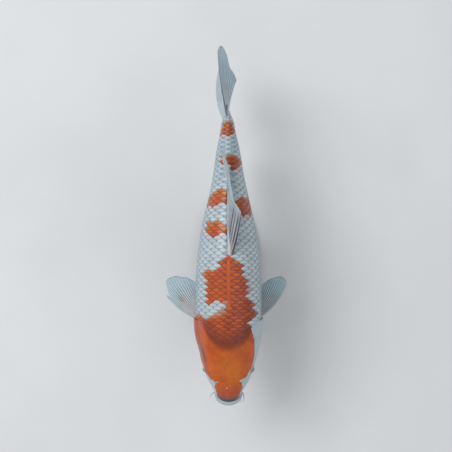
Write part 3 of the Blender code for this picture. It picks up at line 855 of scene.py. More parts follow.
def lay_rings(along, around):
    """Where each point of the skin lies. The rings bend so that one follows the rear edge of the head."""
    places, edge = ring_places()
    ring = np.rint(along * SKIN_RINGS).astype(int)
    angle = 2 * math.pi * around
    base = places[ring]
    weight = smooth_step(25, EDGE_PLACE, base) * smooth_step(260, EDGE_PLACE, base)
    s = base.copy()
    for _ in range(6):
        points = body_point(reach_of(s), angle)[0]
        s = base + (head_edge(points[:, 0], points[:, 2]) - EDGE_PLACE) * weight
    reach = reach_of(s)
    points, side = body_point(reach, angle)
    return SimpleNamespace(
        ring=ring,
        after=ring - edge,
        s=s,
        z=points[:, 2],
        side=side,
        points=points,
        normals=body_normal(reach, angle),
        rear=head_edge(points[:, 0], points[:, 2]),
        walk=np.sign(side) * walk_of(s, np.minimum(angle, 2 * math.pi - angle)),
    )


def open_gills(at):
    """Lifts the gill covers, and turns the skin under their rear edge and out again as the slit's floor."""
    relief = GILL_RELIEF * np.abs(at.side) * (1 - smooth_step(0.4 * GILL_TOP, GILL_TOP, at.z))
    cover = relief * smooth_step(GILL_CENTRE, GILL_CENTRE + 0.7 * GILL_LENGTH, at.s)
    at.slit = relief / GILL_RELIEF
    out = np.where(at.after <= 0, cover, 0.0)
    shift = np.zeros(len(at.s))
    for step, (back, share) in enumerate(GILL_TURN, start=1):
        here = at.after == step
        out = np.where(here, relief * share, out)
        shift = np.where(here, (at.rear + back - at.s) * at.slit, shift)
    at.points[:, 0] += np.sign(at.side) * out
    at.points[:, 1] += shift
    at.behind = at.s + shift - at.rear
    # A smooth strip of skin stands level with the scales along the ridge, ahead of the dorsal fin
    at.ridge = hump(at.points[:, 0], 0, 2.3) * (at.z > 0)
    at.ridge *= smooth_step(146, 170, at.s) * smooth_step(234, 226, at.s)


def sunk_by(at):
    """How deep the skin lies: under the coat, gently from the nape and steeply from the gill openings."""
    steep = COAT * smooth_step(0, 4, at.after)
    gentle = (COAT + 0.15) * smooth_step(1, 15, at.s - at.rear)
    on_top = smooth_step(0.6 * GILL_TOP, GILL_TOP + 8, at.z)
    scaled = at.after > 0
    sunk = scaled * (steep + (gentle - steep) * on_top) - (COAT + 0.3) * at.ridge
    groove = scaled * 0.6 * hump(at.behind, 0.5, 2.0) * at.slit
    return sunk * under_coat(at.s) + groove


def skin_values(at, shade):
    """The skin's markings, dark pigment and painted shade, as one value of each kind at each point."""
    s, z, walk, after = at.s, at.z, at.walk, at.after
    inside_mouth = smooth_step(5.0, 3.5, z - mouth_line(s)) * smooth_step(30, 24, s)
    bare = np.maximum.reduce([at.lip, 0.6 * at.fold, inside_mouth])
    # Painted shade along the groove between the crown and the gill cover, on the fish's right
    cover_groove_shade = 0.82 * hump(np.hypot((walk + 47.5 + 0.42 * (s - 82)) / 4.6, (s - 86) / 17.0), 0, 1.0)
    # Painted shade in the fold behind the upper lip; the cleft of the mouth gets painted shade too
    fold = 0.85 * at.fold * smooth_step(26, 12, s)
    # Painted shade just behind the gill cover's rear edge, where it stands off the body
    under_cover = 0.22 * (after > 0) * (after < 9) * at.slit * smooth_step(9, 1, after)
    dusk = 0.9 * at.dusk * smooth_step(24, 10, s)
    flank = smooth_step(0.30, 0.95, np.abs(at.side)) * smooth_step(-40, 5, z)
    nape = smooth_step(-7, 6, s - at.rear) * smooth_step(52, 26, s - at.rear)
    covers = smooth_step(42, 66, np.abs(walk)) * smooth_step(60, 84, s)
    crown = hump(np.hypot(walk / 24, (s - 62) / 30), 0, 1)
    freckles = [hump(np.hypot(walk - w, s - at_s), 0, size) for w, at_s, size in FRECKLES]
    shares = {
        "lip": at.lip,
        "shade": np.maximum.reduce([shade, fold, 0.85 * at.cleft, under_cover, dusk, cover_groove_shade]),
        # The flanks are painted darker and bluer: painted shade with a cool cast, stronger behind the head
        "cool": flank * (0.35 + 0.4 * smooth_step(110, 150, s)),
        "pink": 0.25 * smooth_step(-20, -50, z) + 0.3 * hump(at.behind, 0.5, 2.0) * (after > 0),
        "nape": 0.85 * nape * smooth_step(66, 30, np.abs(walk)),
        "deep": 0.75 * covers + 0.55 * smooth_step(44, 20, s) + 0.45 * at.ridge,
        "ochre": np.maximum(crown, 0.25 * at.ridge),
        "freckle": 0.65 * np.max(freckles, axis=0),
    }
    orange = np.minimum(orange_by(walk, s), 3 - 6 * bare)
    return {"orange": orange, **{key: np.clip(value, 0, 1) for key, value in shares.items()}}


def make_skin():
    """One skin from the lips to the root of the tail, with no seam."""
    mesh, along, around = grid(SKIN_RINGS, SKIN_AROUND)
    at = lay_rings(along, around)
    open_gills(at)
    lift, shade = head_forms(at.points) * (at.after <= 0)
    mouth = np.flatnonzero(at.s < MOUTH_END)
    lips = np.zeros(len(at.s))
    lips[mouth] = raise_lips(at.points[mouth], at.normals[mouth])
    finished = at.points + at.normals * (lift + lips - sunk_by(at))[:, None]
    at.lip, at.fold, at.cleft, at.dusk = colours = np.zeros((4, len(at.s)))
    colours[:, mouth] = lip_colour(finished[mouth])
    wide = finished[:, 0]
    creases = 0.09 * np.sin(2.3 * wide + 0.8 * np.sin(0.9 * wide)) + 0.05 * np.sin(4.1 * wide)
    finished += at.normals * (at.lip * creases - 0.7 * at.fold)[:, None]
    for end in (0, SKIN_RINGS):
        finished[at.ring == end] = finished[at.ring == end].mean(axis=0)
    move_points(mesh, finished)
    write_values(mesh, skin_values(at, shade))
    flesh = ("head", "lower_jaw", "gill_cover_left", "gill_cover_right", "trunk", "tail_stalk")
    closed_piece("skin", *flesh, slot="white_skin", finish=skin_finish())


# ---------------------------------------------------------------- scales


MID_PITCH = 9.2  # spacing along the middle of the body
SCALE_PITCH = ((95, 8.6), (150, MID_PITCH), (290, MID_PITCH), (350, 8.2), (400, 7.2), (456, 5.2))
FIRST_SCALE = 96.0
LAST_SCALE = 456.7
SCALE_LENGTH = 1.75  # in spacings along the body
SCALE_ARCH = 0.52  # how far its sides reach ahead of its rear tip, in spacings
SCALE_CURVE = 2.4
SCALE_ACROSS = 10
SCALE_ROWS = (0.0, 0.05, 0.42, 1.0)  # where its rows of points lie, from the rear edge to the front
SCALE_LIFT = 0.80
SCALE_SKIRT = 0.40
# How many rows lie above and below the side line, and how far apart, which is half a scale's width
ROWS_ABOVE, ROWS_BELOW = 17, 11
UPPER_STEP, MORE_AT_SIDE, LOWER_STEP = 7.0, 5.6, 11.5
RIDGE_WIDTH, BELLY_WIDTH = 7.4, 10.5  # half a scale's width in the single rows
DORSAL_FROM, DORSAL_TO = 231.0, 350.0
ANAL_FROM, ANAL_TO = 345.0, 379.0


def size_at(s):
    """How wide the rows are, against those of the middle of the body."""
    return np.interp(s, *zip(*SCALE_PITCH)) / MID_PITCH


def pitch_at(s):
    """The spacing along the body, closer where the stalk's skin is drawn out over the tail fin."""
    return MID_PITCH * size_at(s) * (1 - 0.42 * smooth_step(438, 447, s))


def scale_places():
    """Where the rear tips lie along the body, at whole and half steps."""
    s = np.linspace(FIRST_SCALE, LAST_SCALE, 4000)
    count = np.concatenate([[0], np.cumsum(np.diff(s) / pitch_at(s)[1:])])
    steps = np.arange(0, count[-1], 0.5)
    return np.interp(steps, count, s)


def row_distance(rows):
    """How far each row lies above the side line mid-body: the rows draw together towards the back."""
    total = [0.0]
    for k in range(1, rows + 1):
        total.append(total[-1] + UPPER_STEP + MORE_AT_SIDE * (1 - float(smooth_step(2, 9, k))))
    return np.array(total)


def lay_out_scales():
    """Each scale as (walk, s, half width), on the fish's left."""
    above = row_distance(ROWS_ABOVE)
    rows = list(zip(range(ROWS_ABOVE + 1), above, np.gradient(above)))
    rows += [(k, -LOWER_STEP * k, LOWER_STEP) for k in range(1, ROWS_BELOW + 1)]
    tips = scale_places()
    found = []
    for k, up, width in rows:
        for s in tips[k % 2 :: 2]:
            size = size_at(s)
            found.append((walk_to_side(s) - up * size, s, width * size))
    found = np.array(found)
    walk, s, width = found.T
    angle = angle_at(s, np.clip(walk, 0, half_girth(s)))
    at, side = body_point(reach_of(s), angle)
    keep = (walk > 0.75 * width) & (walk < half_girth(s) - 0.6 * width)
    keep |= (walk > 0.3 * width) & (walk < 20) & (s > 159) & (s < DORSAL_TO + 2)
    keep &= s > head_edge(at[:, 0], at[:, 2]) + 4.5
    # The scales end in a rounded line on the root of the tail fin
    keep &= s < 450.5 + 5.3 * np.abs(side) ** 1.5
    return found[keep]


def straddling_rows():
    """Single rows along the back's ridge and along the belly."""
    tips = scale_places()[::2]
    rows = []
    for s in tips[tips < 449]:
        size = size_at(s)
        if head_edge(0.0, 60.0) + 4.5 < s < 159 or s > DORSAL_TO + 4:
            rows.append((0.0, s, RIDGE_WIDTH * size))
        if s > 118 and not ANAL_FROM + 2 < s < ANAL_TO + 4:
            rows.append((half_girth(s), s, BELLY_WIDTH * size))
    return np.array(rows)


def behind_head(walk, s):
    """How far a place lies behind the bare skin of the head."""
    at = body_point(reach_of(s), angle_at(s, np.clip(walk, 0, half_girth(s))))[0]
    return s - head_edge(at[:, 0], at[:, 2])


def scale_sheet():
    """One scale as (across, distance ahead of its rear tip) for each point, its rim, and its faces."""
    across, along = SCALE_ACROSS + 1, len(SCALE_ROWS)
    a = np.repeat(np.sin(np.linspace(-1, 1, across) * math.pi / 2)[:, None], along, axis=1)
    own_edge = SCALE_ARCH * np.abs(a) ** SCALE_CURVE
    ahead = own_edge + np.array(SCALE_ROWS) * (SCALE_LENGTH - own_edge)
    number = np.arange(a.size).reshape(a.shape)
    quads = np.stack([number[:-1, :-1], number[:-1, 1:], number[1:, 1:], number[1:, :-1]], axis=-1)
    rim = np.array([*number[:-1, 0], *number[-1, :-1], *number[:0:-1, -1], *number[0, :0:-1]])
    # The lower rim's points are numbered on after the top's. A wall joins them, and one face closes it below
    low = a.size + np.arange(len(rim))
    wall = np.column_stack([np.roll(rim, -1), np.roll(low, -1), low, rim])
    faces = [*quads.reshape(-1, 4).tolist(), *wall.tolist(), low.tolist()]
    return SimpleNamespace(across=a.ravel(), ahead=ahead.ravel(), rim=rim, faces=faces)


def scale_points(places, side, sheet, jitter):
    """The top and the lower rim of every scale. Its front end is sunk in the skin."""
    walk, s, width = places.T
    across, ahead, rim = sheet.across, sheet.ahead, sheet.rim
    size = pitch_at(s) / MID_PITCH
    pitch = pitch_at(s) * (1 + 0.02 * jitter[0])
    width = width * (1 + 0.02 * jitter[1])
    top_s = s[:, None] - ahead * pitch[:, None]
    top_walk = walk[:, None] + across * width[:, None]
    # Rows run with the side line, so a scale's front end follows the change of girth
    nearness = 1 - np.abs(walk - walk_to_side(s)) / half_girth(s)
    slide = (walk_to_side(top_s) - walk_to_side(s)[:, None]) * nearness[:, None]
    on_ridge, on_belly = walk < 1e-6, walk > half_girth(s) - 1e-6
    slide *= ~(on_ridge | on_belly)[:, None]
    slide += np.where(on_belly[:, None], half_girth(top_s) - half_girth(s)[:, None], 0)
    top_walk = top_walk + slide
    # Ahead of the dorsal fin and along it no scale crosses the ridge
    gap = np.interp(s, (228, 242, 338, 350), (0.8, 2.3, 2.3, 0.6))
    apart = gap * ((s > 163) & (s < DORSAL_TO) & ~on_ridge)
    top_walk = np.where(apart[:, None] > 0, np.maximum(top_walk, apart[:, None]), top_walk)
    clear = smooth_step(2, 24, behind_head(walk, s) + 30 * smooth_step(40, 56, walk))
    raised = size * (1 + 0.10 * jitter[2]) * (0.35 + 0.65 * clear)
    lift = SCALE_LIFT * raised
    height = lift[:, None] - (lift[:, None] + 0.35) * ahead / SCALE_LENGTH
    height += 0.20 * raised[:, None] * (1 - across**2) * (1 - ahead / SCALE_LENGTH)
    height -= 0.40 * hump(top_walk, 0, 2.4) * ((apart > 0) & (s < DORSAL_FROM - 3))[:, None]
    angle = side * angle_at(top_s, top_walk)
    reach = reach_of(np.clip(top_s, SNOUT + 1, BODY_END - 0.5))
    base, _ = body_point(reach, angle)
    normal = body_normal(reach, angle)
    top = base + normal * (height - COAT * under_coat(top_s))[..., None]
    skirt = SCALE_SKIRT * raised[:, None, None]
    low = top[:, rim] - normal[:, rim] * skirt
    return np.concatenate([top, low], axis=1)


def unwrap_scales(mesh, places, sheet):
    """Two unwraps. On OFBake each scale's top fills its own brick of the unrolled body, its sides lie a
    hair beside that, and its hidden underside lies in the gap between two bricks. Where the rows draw
    together, mostly beside the back fin, some bricks overlap a little at their sides."""
    walk, s, width = places.T
    tops = len(sheet.across)
    each = tops + len(sheet.rim)
    corner_of = np.empty(len(mesh.loops), np.int64)
    mesh.loops.foreach_get("vertex_index", corner_of)
    scale_no, corner = np.divmod(corner_of, each)
    source = np.where(corner < tops, corner, sheet.rim[np.maximum(corner - tops, 0)])
    across, ahead = sheet.across[source], sheet.ahead[source]
    corners = sum(len(face) for face in sheet.faces)
    under = np.tile(np.arange(corners) >= corners - len(sheet.rim), len(s))
    coat = BODY_END - FIRST_SCALE
    step_u = (pitch_at(s) / coat)[scale_no]
    step_v = (width / half_girth(s))[scale_no]
    brick_u = ((s - FIRST_SCALE) / coat)[scale_no] - 0.5 * step_u
    brick_v = (walk / half_girth(s))[scale_no]
    brick_v = np.where(brick_v < 1e-6, -0.04, np.where(brick_v > 1 - 1e-6, 1.04, brick_v))
    forward = 0.5 - ahead / SCALE_LENGTH
    grow = np.where(corner < tops, 0.92, 0.96)
    u = brick_u + step_u * np.where(under, 0.5 + 0.02 * forward, grow * forward)
    v = brick_v + step_v * np.where(under, 0.40, 0.5 * grow) * across
    write_unwrap(mesh, "OFBake", 0.03 + 0.94 * u, 0.08 + 0.84 * v)
    write_unwrap(mesh, "scale_place", 0.5 + 0.5 * across, 0.5 * ahead)


def scale_shades(places, sheet):
    """Shades within a scale: the side line's pore tubes, and smooth places on the ridge and nape."""
    walk, s, width = places.T
    tube = hump(sheet.across, 0, 0.14) * smooth_step(0.15, 0.3, sheet.ahead)
    tube = np.append(tube * smooth_step(0.9, 0.7, sheet.ahead), np.zeros(len(sheet.rim)))
    on_line = np.abs(walk - walk_to_side(s)) < 0.3
    across = np.append(sheet.across, sheet.across[sheet.rim])
    ridge = (smooth_step(146, 170, s) * smooth_step(236, 222, s))[:, None]
    strip = ridge * hump(walk[:, None] + across * width[:, None], 0, 3.5)
    bare = smooth_step(26, 4, behind_head(walk, s)) * smooth_step(60, 34, walk)
    plain = np.maximum(0.8 * strip, 0.75 * bare[:, None])
    return {"shade": (0.55 * on_line[:, None] * tube).ravel(), "plain": plain.ravel()}


def make_scales(name, places, side, seed, finish):
    """Overlapping scales as one mesh, each a thin closed plate that is smoothly rounded at its rim."""
    chance = np.random.default_rng(seed)
    sheet = scale_sheet()
    jitter = chance.normal(0, 1, (4, len(places)))
    points = scale_points(places, side, sheet, jitter)
    each = points.shape[1]
    faces = [[k * each + corner for corner in face] for k in range(len(places)) for face in sheet.faces]
    mesh = bpy.data.meshes.new(name)
    mesh.from_pydata(place(points.reshape(-1, 3)).tolist(), [], faces)
    unwrap_scales(mesh, places, sheet)
    colours = scale_colours(places, side, chance, jitter)
    write_values(mesh, {key: np.repeat(value, each) for key, value in colours.items()})
    write_values(mesh, scale_shades(places, sheet))
    piece = bpy.data.objects.new(name, mesh)
    bpy.context.scene.collection.objects.link(piece)
    select_nothing()
    piece.select_set(True)
    bpy.context.view_layer.objects.active = piece
    bpy.ops.object.shade_smooth()
    new_piece(name, slot="white_skin", finish=finish)


def scale_colours(places, side, chance, jitter):
    """The markings and the small differences between scales, as one value of each kind for a scale, with
    painted shade on the fish's left side.
    """
    walk, s, _ = places.T
    signed_walk = side * walk
    at_s = s - 0.45 * pitch_at(s)
    inside = orange_by(signed_walk, at_s)
    lucky = chance.random((3, len(s)))
    orange = smooth_step(-0.8, 0.8, inside + 0.8 * (lucky[0] - 0.5))
    nearly = smooth_step(-7, -1, inside) * (1 - orange)
    ahead = smooth_step(-2, 3, orange_by(signed_walk, at_s + 6.5)) * (1 - orange) * (s > 160)
    edge = smooth_step(5, 0.5, inside) * (lucky[1] < 0.22)
    rear = smooth_step(9, 2, orange_by(signed_walk, at_s + 5)) * smooth_step(245, 260, s)
    # Less gold towards the fish's left: painted shade on the side away from the key lamp
    rear *= smooth_step(34, 4, signed_walk)
    nape = smooth_step(44, 8, behind_head(walk, s)) * smooth_step(64, 36, walk)
    down = walk / half_girth(s)
    flank = smooth_step(0.2, 0.55, down) * smooth_step(0.95, 0.6, down)
    values = {
        "orange": orange,
        "pink": np.maximum(nearly * (lucky[1] < 0.16), 0.8 * ahead) * (0.4 + 0.6 * lucky[2]),
        "gold": orange * np.maximum(edge, rear * (0.3 + 0.6 * lucky[2])),
        # Deeper orange at random, and more of it on the fish's left: painted shade on the side away from the
        # key lamp
        "tone_and_shade": 0.25 + 0.13 * jitter[3] + 0.45 * smooth_step(-14, 30, signed_walk),
        # Painted shade with a cool cast on the flanks, and more of it towards the tail
        "cool": np.maximum(flank, 0.45 * smooth_step(300, 400, s)) + 0.10 * jitter[0],
        "nape": 0.85 * nape + 0.06 * jitter[2] * nape,
    }
    return {key: np.clip(value, 0, 1) for key, value in values.items()}


def make_coat():
    finish = scale_finish()
    half = lay_out_scales()
    make_scales("scales_left", np.concatenate([half, straddling_rows()]), 1, 11, finish)
    make_scales("scales_right", half, -1, 12, finish)


# ---------------------------------------------------------------- fins


def dorsal_rays():
    rays = []
    for share, root_s, tip in (
        (0.00, 231, (18.8, 299.5, 113)),
        (0.10, 243, (14.5, 306, 113)),
        (0.22, 258, (8.5, 316, 109)),
        (0.40, 279, (4.5, 334, 101)),
        (0.60, 303, (1.8, 353, 89)),
        (0.80, 327, (-1.8, 372, 74)),
        (0.90, 339, (-5.8, 384, 66)),
        (0.96, 346, (-9.8, 396.5, 59.5)),
        (1.00, 350, (-13.6, 400, 57)),
    ):
        height = float(LENGTH * through(REACHES, STATIONS[:, 2], reach_of(root_s)))
        root = (tip[0] * 0.05 + 3.0 * max(0.0, 1 - share / 0.4), root_s, height - 4)
        lean = 0.30 + 0.24 * max(0.0, share - 0.8) / 0.2 + 0.38 * max(0.0, 1 - share / 0.3)
        middle = (tip[0] * lean, (root_s + tip[1]) / 2 - 3, (root[2] + tip[2]) / 2 + 3)
        rays.append((share, root, middle, tip))
    return rays


def anal_rays():
    return [
        (0.0, (0, 345, -40), (0.5, 361, -70), (2.0, 382, -92)),
        (0.3, (0, 355, -38), (0.5, 373, -65), (2.5, 393, -86)),
        (0.7, (0, 368, -34), (0.5, 385, -55), (2.5, 402, -72)),
        (1.0, (0, 379, -32), (0.5, 392, -45), (2.0, 405, -58)),
    ]


def tail_rays():
    return [
        (0.00, (-1.0, 437, 25.5), (-12.5, 502, 45.0), (-16.8, 541, 61.5)),
        (0.04, (-1.1, 439, 24.0), (-12.0, 502, 43.5), (-14.6, 547.5, 62.3)),
        (0.09, (-1.2, 441, 21.5), (-11.0, 502, 40.5), (-10.8, 549.6, 61.0)),
        (0.15, (-1.4, 444, 18.5), (-9.5, 500, 36.0), (-6.8, 546.5, 57.0)),
        (0.21, (-1.5, 447, 15.5), (-7.5, 497, 31.0), (-3.4, 539, 50.0)),
        (0.34, (-1.5, 452, 8.5), (-2.5, 488, 18.0), (2.5, 521, 31.0)),
        (0.42, (-1.5, 453, 4.0), (1.5, 484, 9.5), (8.0, 514, 16.0)),
        (0.50, (-1.5, 453, 0.0), (4.0, 481, 0.5), (12.3, 506, 2.0)),
        (0.66, (-2.0, 452, -8.5), (-4.5, 486, -17.0), (4.5, 518, -29.0)),
        (0.80, (-2.5, 447, -16.0), (-13.5, 488, -30.0), (-5.0, 533, -47.0)),
        (0.92, (-2.5, 441, -22.0), (-18.0, 485, -38.0), (-10.5, 540, -57.5)),
        (1.00, (-2.5, 437, -25.0), (-19.0, 482, -41.5), (-14.5, 534, -61.0)),
    ]


def fan_rays(side, root, root_step, lengths, angles, droop, back_drop, bow):
    """A paired fin whose rays fan out in one plane between two angles from straight out to straight back."""
    rays = []
    down = math.radians(droop)
    for k, length in enumerate(lengths):
        share = k / (len(lengths) - 1)
        angle = math.radians(angles[0] + (angles[1] - angles[0]) * (0.75 * share + 0.25 * share**2))
        start = np.array(root, float) + np.array(root_step, float) * share
        out = np.array([math.cos(down), 0.0, -math.sin(down)])
        back = np.array([0.0, 1.0, -back_drop])
        tip = start + length * (out * math.cos(angle) + back * math.sin(angle))
        forwards = out * math.sin(angle) - back * math.cos(angle) + np.array([0.0, 0.0, 0.4])
        middle = (start + tip) / 2 + length * bow * (1 - 0.6 * share) * forwards
        rays.append((share, *(tuple(p * (side, 1, 1)) for p in (start, middle, tip))))
    return rays


PECTORAL_RIGHT = {"lengths": (74, 77, 87.5, 86.5, 78, 68.5, 56), "angles": (33, 72), "bow": 0.075}
PECTORAL_LEFT = {"lengths": (82, 84, 84, 80, 72, 63, 53), "angles": (47, 70), "bow": 0.10}
PELVIC = {"lengths": (52, 60, 61, 57, 50, 38), "angles": (52, 80), "bow": 0.03}


def pectoral_rays(side, shape):
    return fan_rays(side, (37.5, 127, -37), (-1.5, 10, -11), droop=9, back_drop=0.05, **shape)


def pelvic_rays(side):
    return fan_rays(side, (17, 221, -58), (-6, 9, -3), droop=40, back_drop=0.18, **PELVIC)


DORSAL_RAYS, ANAL_RAYS, TAIL_RAYS = 15, 8, 21
FIN_ROWS = 44
COLUMNS_PER_RAY = 12
FIN_SKIN = 0.14  # half the thickness of the skin between the rays, in mm
FIN_NOTCH = 0.005  # how deep the free edge dips between rays, as a share of their length
FIN_ROOT = 0.04  # how far the fin goes on inside the body, as the same share


def curve(root, middle, tip, t):
    """A smooth curve from root to tip by way of the middle."""
    bend = 2 * middle - (root + tip) / 2
    return (1 - t) ** 2 * root + 2 * t * (1 - t) * bend + t * t * tip


def fin_surface(rays, u, v):
    """The middle of a fin: u runs across its rays and v along them, as the solid fin does."""
    shares = [row[0] for row in rays]
    root, middle, tip = (through(shares, [row[k] for row in rays], u) for k in (1, 2, 3))
    return curve(root, middle, tip, v[..., None])


def fin_normal(rays, u, v):
    step = 0.004
    across = fin_surface(rays, np.minimum(u + step, 1.0), v) - fin_surface(rays, np.maximum(u - step, 0.0), v)
    along = fin_surface(rays, u, v + step) - fin_surface(rays, u, v - step)
    normal = np.cross(across, along)
    return normal / np.linalg.norm(normal, axis=1, keepdims=True)


def fin_reach(u, v, in_rays, off, ray_count, split):
    """How far along its ray each place lies: the free edge dips between the rays, and may have a split."""
    uneven = 0.5 + 0.3 * np.sin(in_rays * 2.4 + 1) + 0.2 * np.sin(in_rays * 5.3)
    ragged = 0.010 * np.sin(in_rays * 0.83 + 2) ** 2
    edge = 1 - (FIN_NOTCH * (2 * off) ** 2 * uneven + ragged) * smooth_step(0.5, 1.0, v)
    edge -= split * hump(u, 1.5 / ray_count, 0.55 / ray_count) * smooth_step(0.6, 1.0, v)
    return np.where(v > 0, v * edge, v)


def fin_thickness(v, in_rays, off, ray_count, stout, wide, forks):
    """Half the thickness: a stout foot, raised rays that fork twice, and stouter rays at either edge."""
    fork = 0.25 * smooth_step(forks, 1.08, v)
    twig = 0.11 * smooth_step(forks + 0.25, 1.10, v)
    thin = wide - 0.5 * wide * smooth_step(0.45, 0.9, v)
    bone = np.maximum(hump(off, fork - twig, thin), hump(off, fork + twig, thin))
    bone *= 1 - 0.35 * smooth_step(0.5, 1.0, v)
    thick = stout[0] * hump(in_rays, 0.5, 0.9) + stout[1] * hump(in_rays, ray_count - 0.5, 1.6)
    foot = FIN_SKIN + 0.95 * (1 - v) ** 2
    return foot + (0.26 + 0.5 * thick) * bone * (1 - 0.6 * v) + 0.5 * thick * (1 - 0.5 * v)


def make_fin(
    name, rays, ray_count, finish, *replaced, stout=(0, 0), split=0.0, wide=0.14, forks=0.35, marks_and_shade=None
):
    """A fin as one closed thin shell: raised bony rays that fork twice, with thin skin between them."""
    mesh, over, along = grid(2 * ray_count * COLUMNS_PER_RAY, FIN_ROWS)
    u = 1 - np.abs(2 * over - 1)
    v = along * (1 + FIN_ROOT) - FIN_ROOT
    in_rays = u * ray_count
    off = np.abs(in_rays - np.floor(np.minimum(in_rays, ray_count - 1e-6)) - 0.5)
    reach = fin_reach(u, v, in_rays, off, ray_count, split)
    half = fin_thickness(v, in_rays, off, ray_count, stout, wide, forks)
    rim = smooth_step(0, 0.35 / ray_count, np.minimum(u, 1 - u))
    half *= np.sqrt(rim) * smooth_step(1.0, 0.985, along) * smooth_step(0.0, 0.01, along)
    half *= np.where(over <= 0.5, 1.0, -1.0)
    wave = np.cos(2 * math.pi * in_rays) + 2.5 * np.sin(in_rays * 0.9 + 0.6)
    wave *= 0.12 * smooth_step(0.15, 0.6, v) * (rim > 0)
    move_points(mesh, fin_surface(rays, u, reach) + fin_normal(rays, u, reach) * (half - wave)[:, None])
    corner = np.empty(len(mesh.loops), np.int64)
    mesh.loops.foreach_get("vertex_index", corner)
    write_unwrap(mesh, "ray_place", in_rays[corner], np.clip(v, 0, 1)[corner])
    shown = {"pink": 0.25 * smooth_step(0.35, 0.05, v), "orange": 0 * v, "slate": 0 * v}
    shown["flesh"] = smooth_step(0.14, 0.04, v)
    shown.update(marks_and_shade(u, v) if marks_and_shade else {})
    write_values(mesh, {key: np.clip(value, 0, 1) for key, value in shown.items()})
    closed_piece(name, *replaced, slot="fin_membrane", finish=finish)


RED_DOTS = ((0.235, 0.49), (0.33, 0.53))  # shares across and along the tail fin


def dorsal_marks_and_shade(u, v):
    """An orange streak at the foot of the first rays, and painted shade in slate towards the front edge,
    between the folded rays.
    """
    streak = 0.95 * hump(u, 0.06, 0.03) * hump(v, 0.14, 0.10)
    front = (0.9 - 0.75 * smooth_step(0.2, 0.45, u)) * smooth_step(0.03, 0.15, v) * smooth_step(1.05, 0.8, v)
    # Painted shade between the folded front rays and along the leading edge
    slate = front * (0.8 + 0.2 * np.sin(u * 40)) + 0.5 * smooth_step(0.04, 0.0, u)
    behind = 0.3 * smooth_step(0.5, 0.8, u) * smooth_step(0.4, 0.8, v)
    return {"orange": streak, "slate": np.maximum(slate * (1 - streak), behind), "pink": 0.4 * front}


def tail_marks_and_shadow(u, v):
    """A painted shadow along the upper edge of the tail, where the upper lobe lies over the lower, fading out
    towards its tip, and two small red dots.
    """
    # Painted shadow line of the upper lobe's edge
    line = 0.9 * hump(u, 0.0, 0.022) * smooth_step(0.0, 0.10, v) * smooth_step(1.0, 0.6, v)
    dots = np.maximum(*(hump(np.hypot((u - a) / 0.022, (v - b) / 0.012), 0, 1.0) for a, b in RED_DOTS))
    root = 0.12 + 0.13 * np.abs(2 * u - 1)
    flesh = smooth_step(root + 0.20, root, v)
    return {"slate": np.maximum(line, 0.4 * dots), "orange": 0.5 * dots, "flesh": flesh}


def right_pectoral_marks(u, v):
    mark = hump(np.hypot((u - 0.385) / 0.038, (v - 0.555) / 0.055), 0, 1.0)
    return {"orange": 0.9 * mark, "slate": 0.3 * mark, "pink": 0.5 * smooth_step(0.65, 0.15, v)}


def left_pectoral_marks(u, v):
    return {"pink": 0.45 * smooth_step(0.6, 0.1, v)}


def make_fins():
    # Each fin finish: how clear its edge is, how strong the painted shade between its rays is, how wide its
    # rays are, and where they fork
    upright = fin_finish("upright_fin_rays", 0.15, 0.6, 0.20, 0.35)
    tail = fin_finish("tail_fin_rays", 0.45, 0.35, 0.20, 0.35)
    fine = fin_finish("paired_fin_rays", 0.50, 0.75, 0.37, 0.60)
    dorsal = {"stout": (0.9, 1.0), "marks_and_shade": dorsal_marks_and_shade}
    lobes = ("tail_fin_upper", "tail_fin_lower")
    make_fin("dorsal_fin_rayed", dorsal_rays(), DORSAL_RAYS, upright, "dorsal_fin", **dorsal)
    make_fin("anal_fin_rayed", anal_rays(), ANAL_RAYS, upright, "anal_fin", stout=(0.7, 0.0))
    tail_own = {"stout": (0.5, 0.4), "marks_and_shade": tail_marks_and_shadow}
    make_fin("tail_fin_rayed", tail_rays(), TAIL_RAYS, tail, *lobes, **tail_own)
    right, left = pectoral_rays(-1, PECTORAL_RIGHT), pectoral_rays(1, PECTORAL_LEFT)
    for name, rays, ray_count, own in (
        ("pectoral_right", right, 15, {"split": 0.10, "marks_and_shade": right_pectoral_marks}),
        ("pectoral_left", left, 12, {"marks_and_shade": left_pectoral_marks}),
        ("pelvic_right", pelvic_rays(-1), 9, {}),
        ("pelvic_left", pelvic_rays(1), 9, {}),
    ):
        own.update(stout=(0.5, 0.0), wide=0.24, forks=0.60)
        make_fin(name + "_rayed", rays, ray_count, fine, name.replace("_", "_fin_"), **own)


# ---------------------------------------------------------------- eyes and feelers


EYE_OPENING = 5.75  # the radius at which the skin closes round the eyeball
EYE_RIM = 0.55
CLEAR_FRONT = 0.72  # its radius, as a share of the eyeball's
FEELER_STEPS, FEELER_AROUND = 32, 16


def make_eye(name, side):
    """An eyeball with its poles to the sides and a shallow groove round its clear front."""
    select_nothing()
    bpy.ops.mesh.primitive_uv_sphere_add(segments=64, ring_count=40, radius=1)
    mesh = bpy.context.active_object.data
    back, up, out = points_of(mesh).T
    dome = EYE_RADIUS * out - 0.35 * hump(np.hypot(back, up), CLEAR_FRONT, 0.10) * (out > 0)
    move_points(mesh, eye_place(dome, EYE_RADIUS * back, EYE_RADIUS * up, side))
    closed_piece(name + "_glossy", name, slot="eye_gloss", finish=eye_finish(name + "_gloss", side))


def eye_place(out, back, up, side):
    """Places measured outwards, back and up from the middle of an eye, turned to its axis."""
    axis = EYE_AXIS * (side, 1, 1)
    backwards = np.cross((0.0, 0.0, 1.0), axis)
    backwards /= np.linalg.norm(backwards)
    turned = np.column_stack([out, back, up]) @ np.array([axis, backwards, np.cross(axis, backwards)])
    return EYE * (side, 1, 1) + turned


